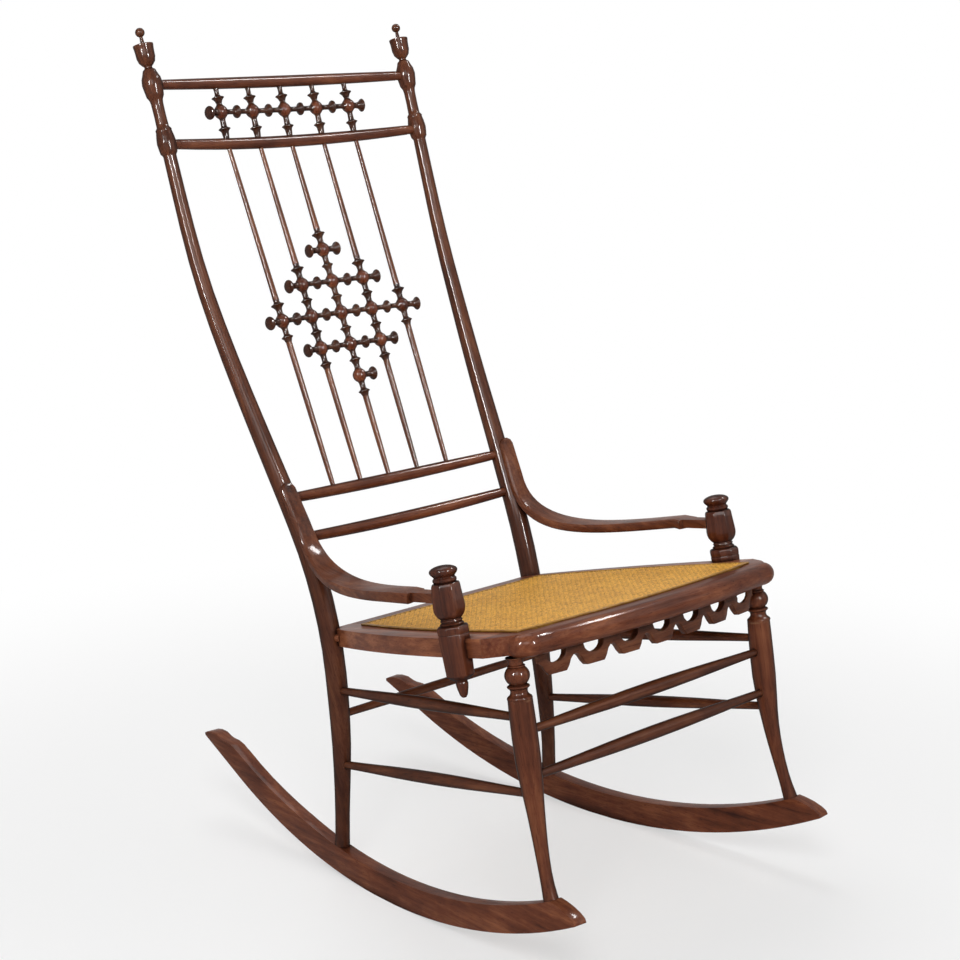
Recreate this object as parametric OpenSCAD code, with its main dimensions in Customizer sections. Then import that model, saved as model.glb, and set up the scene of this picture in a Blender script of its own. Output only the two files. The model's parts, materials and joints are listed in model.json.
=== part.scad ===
// Stick and ball rocking chair with a caned seat and bent arms.
// Millimetres, +Z up, the sitter faces -Y. Left and right are the sitter's own.

/* [Rockers] */
// Radius of the curve that rolls on the floor
rocker_radius = 740; // [700:5:780]
// Height of the rocker bar, measured across the curve
rocker_depth = 33; // [30:1:36]
// Thickness of the rocker board
rocker_thick = 18; // [17:0.5:22]
// Distance between the rocker centres at the post feet
rear_track = 380; // [370:2:390]
// Distance between the rocker centres at the leg feet
front_track = 444; // [434:2:454]

/* [Back posts] */
// Diameter of a back post just above the rocker
post_foot_d = 18.5; // [17:0.5:20]
// Diameter of a back post under the seat
post_seat_d = 27; // [25:0.5:28]
// Diameter of a back post under the turned head
post_top_d = 17; // [15.5:0.1:17.5]
// Distance between the post centres at the waist, just below the seat
waist_gap = 363; // [359:1:367]
// Distance between the post centres where the arms start
arm_gap = 390; // [386:1:394]
// Distance between the post centres at the crest rail
crest_gap = 435; // [430:1:440]
// Height of the crest rail
crest_z = 975; // [960:1:990]
// Set back of the crest rail behind the middle of the chair
crest_y = 358.8; // [351:0.2:366]
// Diameter of the egg shaped bead that holds the crest rail
bead_d = 26.4; // [25:0.2:28]
// Diameter of the cup at the top of a post
cup_d = 26; // [24:0.5:28]
// Diameter of the ball on top of a post
finial_d = 12; // [11:0.5:15]

/* [Rails of the back] */
// How far the back rails bow backwards
rail_bow = 16; // [12:1:20]
// Diameter of the crest rail in the middle
crest_d = 15.6; // [14.5:0.1:17]
// Diameter of the other back rails in the middle
rail_d = 16; // [15:0.1:17]
// Diameter of the rail ends
rail_end_d = 12.4; // [11.5:0.1:13]
// Distance of the gallery rail below the crest rail, in height
gallery_drop = 72.5; // [71:0.5:74]
// Height of the lower back rail at the posts
lower_z = 472; // [466:1:478]
// Height of the lumbar rail at the posts
lumbar_z = 425.5; // [421:0.5:430]

/* [Spindles] */
// Spacing of the spindles at the top of the back
spindle_pitch = 55; // [53:0.5:57]
// Spacing of the long spindles at the lower back rail
spindle_pitch_low = 50.5; // [49:0.5:53]
// Diameter of a spindle shaft
spindle_d = 7.4; // [6.8:0.1:8]
// Diameter of the balls
ball_d = 17; // [16:0.2:18]
// Diameter of the sharp rings between the balls
ring_d = 14.4; // [13:0.2:16]
// Diameter of the side pegs in the balls
peg_d = 4.6; // [4:0.1:5.2]
// Height of the middle row of the lattice
lattice_z = 675.5; // [668:0.5:683]
// Height from one row of the lattice to the next
row_step = 40; // [38:0.5:42]

/* [Seat] */
// Height of the seat top above the front legs
seat_z = 391.6; // [388:0.4:396]
// Slope of the seat down to the back, degrees
seat_tilt = 12.35; // [12:0.05:12.8]
// Thickness of the side and back seat rails
seat_thick = 22; // [20:0.5:24]
// Thickness of the round nosed front rail
front_thick = 27; // [25:0.5:29]
// Radius of the bowed front
front_bow_r = 1000; // [950:10:1050]
// Thickness of the caned panel
cane_thick = 1.6; // [1.2:0.1:2]
// Thickness of the pierced apron
apron_thick = 9; // [8:0.5:10]
// Spacing of the holes in the apron
apron_pitch = 56; // [55:0.5:57]

/* [Arms] */
// Thickness of the bent arm strip at the back post
arm_thick = 10; // [9.5:0.25:11]
// Thickness of the arm strip in front
arm_front_thick = 12.2; // [11.6:0.2:12.8]
// Depth to which the arm strip is let into the back post
arm_let = 5.5; // [4.5:0.25:6]
// Width of the arm strip in front
arm_w = 41; // [38:0.5:43]
// Height on the back post where the arm strip ends
arm_top_z = 480; // [476:1:484]
// Height of the arm above the seat at the arm post
arm_rise = 47.7; // [46:0.1:50]
// Distance of an arm post from the middle of the chair
arm_post_x = 243.5; // [242:0.25:245]
// Distance of an arm post behind the front legs along the seat
arm_post_y = 64.5; // [61:0.5:68]
// Width of the eight sided bodies of an arm post
arm_post_d = 35.2; // [34:0.2:36.4]

/* [Front legs and stretchers] */
// Distance of a front leg from the middle of the chair, under the seat
leg_x = 216.5; // [215:0.25:218]
// Lean of the turned tops of the legs, degrees
leg_lean = 9.5; // [9:0.25:10]
// Greatest diameter of a front leg
leg_d = 30.2; // [29:0.2:32]
// Diameter of a front leg at the ankle
ankle_d = 15; // [14.6:0.2:16]
// Diameter of the ball at the top of a front leg
leg_ball_d = 26; // [25:0.2:27]
// Diameter of a side stretcher in the middle
stretcher_d = 15.6; // [14:0.1:17]
// Diameter of a front stretcher in the middle
front_stretcher_d = 16.8; // [15:0.1:18]
// Diameter of the back stretcher in the middle
back_stretcher_d = 12; // [11.4:0.1:13]
// Diameter of the stretcher ends
stretcher_end_d = 10; // [9.4:0.1:10.2]

/* [Hidden] */
$fn = 48;
fit = 0.15;
touch = 0.04;

// rocker frame: the contact point sits at y0, the boards close towards the back
y0 = -46.4;
foot_y = 50.6;
toe_y = -338.9;
flat_half = 20;
rk_ang = atan((front_track - rear_track)/2/(foot_y - toe_y));
rk_x = rear_track/2 + (foot_y - y0)*tan(rk_ang);
rk_top_r = rocker_radius - rocker_depth;
rk_cz = sqrt(rocker_radius*rocker_radius - flat_half*flat_half);
tail_s = 315;
tail_z = rk_cz - sqrt(rocker_radius*rocker_radius - tail_s*tail_s);
tail_slope = tail_s/(rk_cz - tail_z);

// seat frame: local y runs back along the seat, local z is square to it
seat_y = -269.9;
ca = cos(seat_tilt);
sa = sin(seat_tilt);

// smooth curve between two stations, each a height, a value and a slope
function herm(z, a, b) =
    let (h = b[0] - a[0], t = (z - a[0])/h)
    (2*t*t*t - 3*t*t + 1)*a[1] + (t*t*t - 2*t*t + t)*h*a[2]
    + (3*t*t - 2*t*t*t)*b[1] + (t*t*t - t*t)*h*b[2];

// value at height z of a curve through stations, each a height, a value and a slope
function path(p, z, i = 0) =
    i < len(p) - 2 && z > p[i + 1][0] ? path(p, z, i + 1) : herm(z, p[i], p[i + 1]);

// back posts: upright below the seat, steam bent back above it, straighter at the top
foot_z = 45;
head_z = crest_z - 86;
head_lean = 0.33;
gallery_z = crest_z - gallery_drop;
back_path = [[foot_z, foot_y, 0], [200, foot_y + 9.5, 0.13], [300, foot_y + 25.5, 0.24],
    [423, foot_y + 70.3, 0.5], [529, foot_y + 125.5, 0.53], [712, foot_y + 216.2, 0.45],
    [head_z, crest_y - head_lean*(crest_z - head_z), head_lean]];
side_path = [[foot_z, rear_track/2, 0], [200, waist_gap/2 + 1.4, -0.03], [300, waist_gap/2, 0],
    [423, waist_gap/2 + 3.7, 0.07], [529, arm_gap/2, 0.09], [712, arm_gap/2 + 15.8, 0.06],
    [head_z, crest_gap/2 - 1.5, 0.02]];
function post_y(z) =
    z < foot_z ? foot_y
    : z > head_z ? crest_y - head_lean*(crest_z - z)
    : path(back_path, z);
function post_x(z) =
    z < foot_z ? rear_track/2
    : z > head_z ? crest_gap/2 - 0.02*(crest_z - z)
    : path(side_path, z);
function post_d(z) =
    z < 80 ? post_foot_d
    : z < 200 ? herm(z, [80, post_foot_d, 0.03], [200, post_seat_d - 1.6, 0.035])
    : z < 260 ? herm(z, [200, post_seat_d - 1.6, 0.035], [260, post_seat_d, 0])
    : z < 360 ? post_seat_d
    : herm(z, [360, post_seat_d, -0.012], [head_z, post_top_d, -0.012]);
function post_pt(s, z) = [s*post_x(z), post_y(z), z];
function unit(v) = v/norm(v);
function post_dir(s, z) = unit(post_pt(s, z + 1) - post_pt(s, z - 1));
// forward facing direction square to the post
function post_front(s, z) = unit(cross(post_dir(s, z), [1, 0, 0]))*-1;

// turned head of a back post: straight on from the top of the bend
function head_pt(s, d) = post_pt(s, head_z) + d*unit([s*0.02, head_lean, 1]);
bead_low = 16.2;
bead_high = 91.6;
cup_base = 116;
cup_rim = 142;
ball_at = 158;

// front legs: straight and leaning at the top, curving forward and outward at the foot
leg_top = [leg_x, seat_y - front_thick*sa, seat_z - front_thick*ca];
leg_slope = tan(leg_lean);
leg_foot_z = 94;
leg_path = [[leg_foot_z, toe_y, 0.42], [219, toe_y + 37.5, 0.21], [leg_top[2], leg_top[1], leg_slope]];
leg_side_path = [[leg_foot_z, front_track/2 - 0.5, -0.06], [200, leg_x - 1.5, -0.01], [leg_top[2], leg_x, 0]];
function leg_y(z) = path(leg_path, z);
function leg_xx(z) = path(leg_side_path, z);
function leg_pt(s, z) = [s*leg_xx(z), leg_y(z), z];
function leg_dir(s, z) = unit(leg_pt(s, z + 1) - leg_pt(s, z - 1));
leg_body_z = 319;
function leg_w(z) =
    z < 122 ? herm(z, [94, ankle_d + 3.4, -0.16], [122, ankle_d, 0.01])
    : z < 190 ? herm(z, [122, ankle_d, 0.01], [190, ankle_d + 6, 0.14])
    : z < 256 ? herm(z, [190, ankle_d + 6, 0.14], [256, leg_d, 0.02])
    : herm(z, [256, leg_d, 0.02], [leg_body_z, leg_d - 1.6, -0.07]);
module leg_place(s) {
    translate(leg_top - [leg_x - s*leg_x, 0, 0]) rotate([-leg_lean, 0, 0]) children();
}

module seat_place() {
    translate([0, seat_y, seat_z]) rotate([-seat_tilt, 0, 0]) children();
}
function seat_local(p) =
    [p[0], (p[1] - seat_y)*ca - (p[2] - seat_z)*sa, (p[1] - seat_y)*sa + (p[2] - seat_z)*ca];
function seat_world(p) =
    [p[0], seat_y + p[1]*ca + p[2]*sa, seat_z - p[1]*sa + p[2]*ca];

module along(a, b) {
    d = b - a;
    translate(a)
        rotate([0, acos(d[2]/norm(d)), atan2(d[1], d[0])])
            children();
}

// round bar with a true cylinder surface from a to b
module rod(a, b, d) {
    along(a, b) cylinder(d = d, h = norm(b - a));
}

// ring of points square to a path; the flat factors give oval or strip sections
function ring_at(c, dir, ref, shape) =
    let (u = unit(cross(dir, ref)), v = cross(dir, u))
    [for (q = shape) c + q[0]*u + q[1]*v];
function circle_pts(r, n) = [for (i = [0:n - 1]) [r*cos(360*(i + 0.5)/n), r*sin(360*(i + 0.5)/n)]];

// solid through a list of rings
module skin(rings) {
    n = len(rings[0]);
    m = len(rings);
    pts = [for (r = rings) each r];
    sides = [for (j = [0:m - 2]) for (i = [0:n - 1]) for (k = [0:1])
        k == 0 ? [j*n + i, (j + 1)*n + (i + 1)%n, j*n + (i + 1)%n]
               : [j*n + i, (j + 1)*n + i, (j + 1)*n + (i + 1)%n]];
    bottom = [[for (i = [0:n - 1]) i]];
    top = [[for (i = [n - 1:-1:0]) (m - 1)*n + i]];
    polyhedron(points = pts, faces = concat(bottom, sides, top), convexity = 6);
}

// Rockers

module rocker_place(s) {
    translate([s*rk_x, y0, 0]) rotate([0, 0, s*rk_ang]) children();
}

// everything nearer to the rocking centre than radius r
module rocking_drum(r, w) {
    translate([-w/2, 0, rk_cz]) rotate([0, 90, 0]) cylinder(r = r, h = w, $fn = 360);
}

// height of the bar above the floor, before the tail is thinned
function bar_top(s) = rk_cz - sqrt(rk_top_r*rk_top_r - s*s);
tail_thin = 3.6;

module rocker_board() {
    nose = bar_top(-300);
    top_z = bar_top(tail_s) - tail_thin;
    low_end = tail_z + 79*tail_slope;
    bar = concat([[-300, 0], [-337, 60], [-341.5, nose - 15.1], [-339.5, nose - 11.6], [-333, nose - 7.8],
        [-322, nose - 3.8], [-310, nose - 1.2], [-300, nose + 0.1], [-290, 160], [150, 160]],
        [for (i = [1:6]) let (s = 150 + (tail_s - 150)*i/6) [s, bar_top(s) - tail_thin*pow(sin(15*i), 2)]],
        [[tail_s, 0]]);
    tail = [[tail_s - 0.01, tail_z], [tail_s + 79, low_end], [tail_s + 79.5, low_end + 3.2], [tail_s + 74, low_end + 6.2],
        [tail_s + 64, low_end + 8.3], [tail_s + 52, low_end + 8.1], [tail_s + 41, low_end + 4.5],
        [tail_s + 35, low_end + 3.6], [tail_s + 23.5, low_end + 3.5], [tail_s + 12, top_z + 5.1],
        [tail_s + 3, top_z + 0.8], [tail_s - 0.01, top_z]];
    union() {
        intersection() {
            difference() {
                rocking_drum(rocker_radius, rocker_thick);
                rocking_drum(rk_top_r, rocker_thick + 2);
            }
            rotate([90, 0, 90]) linear_extrude(rocker_thick + 1, center = true) polygon(bar);
        }
        rotate([90, 0, 90]) linear_extrude(rocker_thick, center = true) polygon(tail);
    }
}

post_pin = 12;
leg_pin = 11;

module rocker(s) {
    color("#4a2217")
    difference() {
        rocker_place(s) rocker_board();
        rod([s*post_x(20), foot_y, 23.8], [s*post_x(20), foot_y, 60], post_pin + 2*fit);
        rod(leg_pt(s, leg_foot_z) - 17.2*leg_dir(s, leg_foot_z), leg_pt(s, leg_foot_z) + 20*leg_dir(s, leg_foot_z),
            leg_pin + 2*fit);
    }
}
module rocker_left() { rocker(1); }
module rocker_right() { rocker(-1); }

// Back posts

module post_bent(s) {
    heights = [30, 50, 80, 110, 140, 170, 200, 230, 260, 290, 320, 350, 380, 410, 440, 470, 500, 530,
        565, 600, 640, 680, 720, 760, 800, 845, head_z];
    skin([for (z = heights) ring_at(post_pt(s, z), post_dir(s, z), [1, 0, 0], circle_pts(post_d(z)/2, 20))]);
}

module post_head(s) {
    r = post_top_d/2;
    along(head_pt(s, 0), head_pt(s, 100))
        rotate_extrude()
            polygon([[0, -6], [r - 0.5, -6], [r, -0.5], [r + 2.4, 3], [bead_d/2 - 1.6, 8], [bead_d/2 - 0.8, bead_low],
                [bead_d/2 - 1.8, 24], [r + 1.8, 29.5], [r + 1.6, 31], [r + 2, 32.5], [r + 1, 34], [r - 0.6, 36],
                [r - 0.9, 50], [r - 0.7, 66], [r, 71], [r + 2.6, 76], [bead_d/2 - 0.9, 84], [bead_d/2, bead_high],
                [bead_d/2 - 1, 99], [bead_d/2 - 3.6, 105], [r - 0.4, 109.5], [5, 112], [5, 114], [7.2, cup_base],
                [cup_d/2 - 2.6, 120], [cup_d/2 - 1, 126], [cup_d/2 - 0.8, 133], [cup_d/2 - 0.4, 138], [cup_d/2, 140.4],
                [cup_d/2, cup_rim], [cup_d/2 - 1.8, cup_rim], [cup_d/2 - 3, 138], [0, 136]]);
}

function rail_spec(n) =
    n == 0 ? [post_pt(1, crest_z), rail_bow, 2.4, crest_d]
    : n == 1 ? [post_pt(1, gallery_z), rail_bow, 7.4, rail_d]
    : n == 2 ? [post_pt(1, lower_z), rail_bow + 1, 7, rail_d - 0.4]
    : [post_pt(1, lumbar_z), rail_bow - 1, 8.4, rail_d - 0.4];
function rail_pt(n, x) =
    let (q = rail_spec(n), t = x/q[0][0])
    [x, q[0][1] + q[1]*(1 - t*t), q[0][2] - q[2]*(1 - t*t)];
function rail_dia(n, x) =
    let (q = rail_spec(n), t = x/q[0][0])
    q[3] - (q[3] - rail_end_d)*t*t;
function rail_dir(n, x) = unit(rail_pt(n, x + 0.5) - rail_pt(n, x - 0.5));
function rail_stop(n) = rail_spec(n)[0][0] - 19;
rail_reach = 22;

// straight round end of a rail, also used to bore the posts
module rail_pin(n, s, d, more) {
    a = rail_pt(n, s*rail_stop(n));
    v = rail_dir(n, s*rail_stop(n))*s;
    rod(a - max(more, 2)*v, a + (rail_reach + (more > 0 ? 0.2 : 0))*v, d);
}

pin_z = [238.8, 145, 207.4];

module post(s) {
    color("#5a2a1c")
    difference() {
        union() {
            intersection() {
                union() {
                    post_bent(s);
                    post_head(s);
                }
                rocker_place(s) rocking_drum(rk_top_r - touch, 200);
            }
            rod([s*post_x(20), foot_y, 24], [s*post_x(20), foot_y, 52], post_pin);
        }
        for (n = [0:3]) rail_pin(n, s, rail_end_d + 2*fit, 6);
        arm_strip(s, 0.12);
        side_pin(s, 0, 1, stretcher_end_d + 2*fit, 6);
        side_pin(s, 1, 1, stretcher_end_d + 2*fit, 6);
        back_pin(s, stretcher_end_d + 2*fit, 6);
        seat_pin(s, 2*fit);
        rod(head_pt(s, 128), head_pt(s, 150), 5 + 2*fit);
    }
}
module back_post_left() { post(1); }
module back_post_right() { post(-1); }

module finial(s) {
    color("#4e2419")
    along(head_pt(s, 128.2), head_pt(s, 180))
        union() {
            cylinder(d = 5, h = 20);
            translate([0, 0, 19]) cylinder(d1 = 5, d2 = 4, h = 6);
            translate([0, 0, ball_at - 128.2]) sphere(d = finial_d);
        }
}
module finial_left() { finial(1); }
module finial_right() { finial(-1); }

// Rails of the back

module rail_body(n) {
    e = rail_stop(n);
    xs = [for (i = [-6:6]) e*i/6];
    union() {
        skin([for (x = xs) ring_at(rail_pt(n, x), rail_dir(n, x), [0, 0, 1], circle_pts(rail_dia(n, x)/2, 16))]);
        rail_pin(n, 1, rail_end_d, 0);
        rail_pin(n, -1, rail_end_d, 0);
    }
}

module crest_rail() {
    color("#653321")
    difference() {
        rail_body(0);
        for (k = [-2:2]) rod(short_top(k, 3), short_low(k, 0), short_pin + 2*fit);
    }
}
module gallery_rail() {
    color("#653321")
    difference() {
        rail_body(1);
        for (k = [-2:2]) {
            rod(short_top(k, 0), short_low(k, 3), short_pin + 2*fit);
            rod(long_top(k, 3), long_low(k, 0), short_pin + 2*fit);
        }
    }
}
module lower_back_rail() {
    color("#5e2d1e")
    difference() {
        rail_body(2);
        for (k = [-2:2]) rod(long_top(k, 0), long_low(k, 3), short_pin + 2*fit);
    }
}
module lumbar_rail() {
    color("#5e2d1e")
    rail_body(3);
}

// Spindles: straight turned sticks between two rails

short_pin = 5.6;
// end points on the rail centre lines, drawn in by a depth so that the holes stay blind
function short_a(k) = rail_pt(0, k*spindle_pitch);
function short_b(k) = rail_pt(1, k*spindle_pitch);
function short_v(k) = unit(short_b(k) - short_a(k));
function short_top(k, more) = short_a(k) + (2.4 - (more > 0 ? 0.2 : 0))*short_v(k);
function short_low(k, more) = short_b(k) - (2.4 - (more > 0 ? 0.2 : 0))*short_v(k);
function long_a(k) = rail_pt(1, k*spindle_pitch);
function long_b(k) = rail_pt(2, k*spindle_pitch_low);
function long_v(k) = unit(long_b(k) - long_a(k));
function long_top(k, more) = long_a(k) + (2.4 - (more > 0 ? 0.2 : 0))*long_v(k);
function long_low(k, more) = long_b(k) - (2.4 - (more > 0 ? 0.2 : 0))*long_v(k);

// point of a spindle at a given height
function at_z(a, b, z) = a + (b - a)*(a[2] - z)/(a[2] - b[2]);
function gallery_ball(k) = at_z(short_a(k), short_b(k), (short_a(k)[2] + short_b(k)[2])/2 + 2);
function row_z(r) = lattice_z + (3 - r)*row_step;
function lattice_ball(k, r) = at_z(long_a(k), long_b(k), row_z(r));
function has_ball(k, r) = abs(k) + abs(r - 3) <= 2;

module ring_bead(c, v) {
    along(c, c + v)
        rotate_extrude(convexity = 4)
            polygon([[0, -7.4], [spindle_d/2 - 0.7, -7.4], [spindle_d/2 - 0.4, -5], [spindle_d/2 + 1, -2.8],
                [ring_d/2 - 0.8, -1], [ring_d/2, -0.3], [ring_d/2, 0.3], [ring_d/2 - 0.8, 1],
                [spindle_d/2 + 1, 2.8], [spindle_d/2 - 0.4, 5], [spindle_d/2 - 0.7, 7.4], [0, 7.4]]);
}

peg_depth = 4.4;
// blind holes on both sides of a ball
module ball_holes(c, v) {
    for (s = [-1, 1]) rod(c + s*(ball_d/2 - peg_depth - 0.2)*v, c + s*(ball_d/2 + 4)*v, peg_d + 2*fit);
}

function row_dir_short(k) = k == 2 ? unit(gallery_ball(2) - gallery_ball(1))
    : unit(gallery_ball(k + 1) - gallery_ball(k));
function side_to(p, q) = unit(q - p);

// holes of one ball, each aimed at its neighbour or straight out at the end of a row
module neighbour_holes(c, left, right) {
    rod(c + (ball_d/2 - peg_depth - 0.2)*side_to(c, left), c + (ball_d/2 + 4)*side_to(c, left), peg_d + 2*fit);
    rod(c + (ball_d/2 - peg_depth - 0.2)*side_to(c, right), c + (ball_d/2 + 4)*side_to(c, right), peg_d + 2*fit);
}

function end_aim(c, s) = c + [s*50, -8*abs(c[0])/100, 0];
function gallery_next(k, s) = abs(k + s) <= 2 ? gallery_ball(k + s) : end_aim(gallery_ball(k), s);
function lattice_next(k, r, s) = has_ball(k + s, r) ? lattice_ball(k + s, r) : end_aim(lattice_ball(k, r), s);

module gallery_spindle(k) {
    c = gallery_ball(k);
    v = short_v(k);
    color("#4b2116")
    difference() {
        union() {
            rod(short_top(k, 0), short_low(k, 0), short_pin);
            translate(c) sphere(d = ball_d);
            ring_bead(c - 18*v, v);
            ring_bead(c + 21*v, v);
        }
        neighbour_holes(c, gallery_next(k, -1), gallery_next(k, 1));
    }
}
module gallery_spindle_1() { gallery_spindle(-2); }
module gallery_spindle_2() { gallery_spindle(-1); }
module gallery_spindle_3() { gallery_spindle(0); }
module gallery_spindle_4() { gallery_spindle(1); }
module gallery_spindle_5() { gallery_spindle(2); }

module long_spindle(k) {
    v = long_v(k);
    rows = [for (r = [1:5]) if (has_ball(k, r)) r];
    first = lattice_ball(k, rows[0] - 0.5);
    last = lattice_ball(k, rows[len(rows) - 1] + 0.5);
    top = long_a(k) + 12*v;
    low = long_b(k) - 12*v;
    color("#4b2116")
    difference() {
        union() {
            rod(long_top(k, 0), long_low(k, 0), short_pin);
            along(top, first) cylinder(d1 = short_pin, d2 = spindle_d, h = norm(first - top) - 6);
            along(low, last) cylinder(d1 = short_pin, d2 = spindle_d, h = norm(last - low) - 6);
            for (r = rows) {
                translate(lattice_ball(k, r)) sphere(d = ball_d);
                ring_bead(lattice_ball(k, r - 0.5), v);
            }
            ring_bead(last, v);
        }
        for (r = rows) neighbour_holes(lattice_ball(k, r), lattice_next(k, r, -1), lattice_next(k, r, 1));
    }
}
module long_spindle_1() { long_spindle(-2); }
module long_spindle_2() { long_spindle(-1); }
module long_spindle_3() { long_spindle(0); }
module long_spindle_4() { long_spindle(1); }
module long_spindle_5() { long_spindle(2); }

// olive shaped bead with a peg on each end, between two balls
module olive(p, q) {
    gap = norm(q - p);
    a = ball_d/2 - peg_depth;
    along(p, q)
        translate([0, 0, gap/2])
            rotate_extrude(convexity = 4)
                polygon([[0, a - gap/2], [peg_d/2, a - gap/2], [peg_d/2, -10], [3.3, -8.2], [5.6, -4.2], [7.1, -0.9],
                    [7.1, 0.9], [5.6, 4.2], [3.3, 8.2], [peg_d/2, 10], [peg_d/2, gap/2 - a], [0, gap/2 - a]]);
}

// domed end knob with its peg
module knob(c, aim) {
    a = ball_d/2 - peg_depth;
    along(c, aim)
        rotate_extrude(convexity = 4)
            polygon([[0, a], [peg_d/2, a], [peg_d/2, 12], [3.6, 13.6], [5.2, 15.6], [8, 18.4], [8.3, 19.4],
                [7.9, 20.8], [6.6, 22.8], [4.2, 24.5], [0, 25.3]]);
}

module gallery_beads() {
    color("#431c13")
    for (k = [-2:1]) olive(gallery_ball(k), gallery_ball(k + 1));
}
module gallery_knobs() {
    color("#431c13")
    for (s = [-1, 1]) knob(gallery_ball(2*s), gallery_next(2*s, s));
}
module row_beads(r) {
    h = 2 - abs(r - 3);
    color("#431c13")
    for (k = [-h:h - 1]) olive(lattice_ball(k, r), lattice_ball(k + 1, r));
}
module row_knobs(r, sides) {
    h = 2 - abs(r - 3);
    color("#431c13")
    for (s = sides) knob(lattice_ball(s*h, r), lattice_next(s*h, r, s));
}
module lattice_beads_row_2() { row_beads(2); }
module lattice_beads_row_3() { row_beads(3); }
module lattice_beads_row_4() { row_beads(4); }
module lattice_knobs_row_1() { row_knobs(1, [-1, 1]); }
module lattice_knobs_row_2() { row_knobs(2, [-1, 1]); }
module lattice_knobs_row_3() { row_knobs(3, [-1, 1]); }
module lattice_knobs_row_4() { row_knobs(4, [-1, 1]); }
// the knob on the sitter's right of this row is lost on the real chair
module lattice_knob_row_5() { row_knobs(5, [1]); }

// Seat frame

front_joint = 22;
front_inner = -13;
back_edge = 310.5;
back_end = 357;
rail_inner = 150;
tenon_len = 12;

// drum whose edge passes through (x1, y1) and (x2, y2) with the given bulge
function arc_r(c, b) = (c*c/4 + b*b)/(2*b);
module drum(x1, y1, x2, y2, b, z1, z2) {
    c = norm([x2 - x1, y2 - y1]);
    r = arc_r(c, b);
    nx = (y2 - y1)/c;
    ny = (x1 - x2)/c;
    translate([(x1 + x2)/2 + nx*(b - r), (y1 + y2)/2 + ny*(b - r), z1]) cylinder(r = r, h = z2 - z1, $fn = 360);
}

// height on the post at the middle of the seat rails
function near_seat(z, n) =
    n == 0 ? z : near_seat(seat_z - ((post_y(z) - seat_y)*sa + seat_thick/2)/ca, n - 1);
post_seat_z = near_seat(330, 8);
post_at_seat = seat_local(post_pt(1, post_seat_z));

// round tenon of the side seat rail in the back post
module seat_pin(s, more) {
    c = post_at_seat;
    seat_place()
        translate([s*c[0], c[1] - 20, -seat_thick/2])
            rotate([-90, 0, 0])
                cylinder(d = 10 + more, h = more > 0 ? 22.2 : 22);
}

module side_drum(more) {
    drum(246 + more, 0, 190 + more, 320, 12, -seat_thick - more, more);
}
module side_rail(s) {
    c = post_at_seat;
    color("#552719")
    union() {
        difference() {
            seat_place() scale([s, 1, 1]) difference() {
                intersection() {
                    side_drum(0);
                    translate([rail_inner, front_joint, -seat_thick])
                        cube([120, back_end - front_joint, seat_thick]);
                }
                drum(197, 32, 152, 312, 9.5, -seat_thick - 1, 1);
                translate([rail_inner - 1, 323.9, -seat_thick/2 - 4.1]) cube([tenon_len + 1.2, 20.2, 8.2]);
            }
            rod(post_pt(s, post_seat_z - 30), post_pt(s, post_seat_z + 30), post_d(post_seat_z) + 0.5);
        }
        seat_pin(s, 0);
        seat_place() translate([s*222 - 8, front_joint - 8, -16]) cube([16, 12, 9]);
    }
}
module seat_rail_left() { side_rail(1); }
module seat_rail_right() { side_rail(-1); }

module seat_rail_back() {
    color("#552719")
    seat_place() union() {
        translate([-rail_inner, back_edge, -seat_thick]) cube([2*rail_inner, back_end - back_edge, seat_thick]);
        translate([-rail_inner - tenon_len, 324, -seat_thick/2 - 4]) cube([2*rail_inner + 2*tenon_len, 20, 8]);
    }
}

front_y = -55.5;
nose_r = 13.5;
ear_r = 26;
ear_x = leg_x - 12;
ear_y = front_y + ear_r + ear_x*ear_x/2/front_bow_r - 0.6;

// point of the round nose of a board turned at radius r
function nose_pt(r, i) = [r - nose_r + nose_r*sin(15*i), front_thick/2*(1 - cos(15*i))];

// front rail: straight cut at the back, bowed round nose in front, rounded ears
module seat_rail_front() {
    bow_y = front_y + front_bow_r;
    color("#5c2a1b")
    seat_place() difference() {
        union() {
            intersection() {
                translate([0, bow_y, -front_thick])
                    rotate_extrude($fn = 360)
                        polygon(concat([[front_bow_r - 60, 0], [front_bow_r - nose_r, 0]],
                            [for (i = [1:11]) nose_pt(front_bow_r, i)],
                            [[front_bow_r - nose_r, front_thick], [front_bow_r - 60, front_thick]]));
                translate([-ear_x - 2, -80, -front_thick - 1]) cube([2*ear_x + 4, 80 + front_inner, front_thick + 2]);
            }
            for (s = [-1, 1]) {
                translate([s*ear_x, ear_y, -front_thick])
                    rotate_extrude()
                        polygon(concat([[0, 0], [ear_r - nose_r, 0]],
                            [for (i = [1:11]) nose_pt(ear_r, i)],
                            [[ear_r - nose_r, front_thick], [0, front_thick]]));
                scale([s, 1, 1]) translate([0, 0, -seat_thick]) linear_extrude(seat_thick)
                    polygon([[196, front_inner - 4], [ear_x + 14, front_inner - 4], [ear_x + ear_r - 0.6, ear_y + 5],
                        [245.8, front_joint], [196, front_joint]]);
            }
        }
        for (s = [-1, 1]) {
            translate([s*222 - 8 - fit, front_joint - 8.2, -16 - fit]) cube([16 + 2*fit, 12, 9 + 2*fit]);
            seat_hole(s);
        }
    }
}
// blind hole for the round tenon of a front leg, in the seat frame
module seat_hole(s) {
    translate([s*leg_x, 0, -front_thick]) rotate([seat_tilt - leg_lean, 0, 0])
        translate([0, 0, -3]) cylinder(d = 14 + 2*fit, h = 18.2);
}

module cane_panel() {
    color("#c99b4e")
    seat_place() intersection() {
        drum(207.5, 32, 163, 312, 10, 0, cane_thick);
        mirror([1, 0, 0]) drum(207.5, 32, 163, 312, 10, 0, cane_thick);
        translate([0, front_y + 32 + front_bow_r, 0]) cylinder(r = front_bow_r, h = cane_thick, $fn = 360);
        translate([-230, -60, 0]) cube([460, 381.5, cane_thick]);
    }
}

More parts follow.
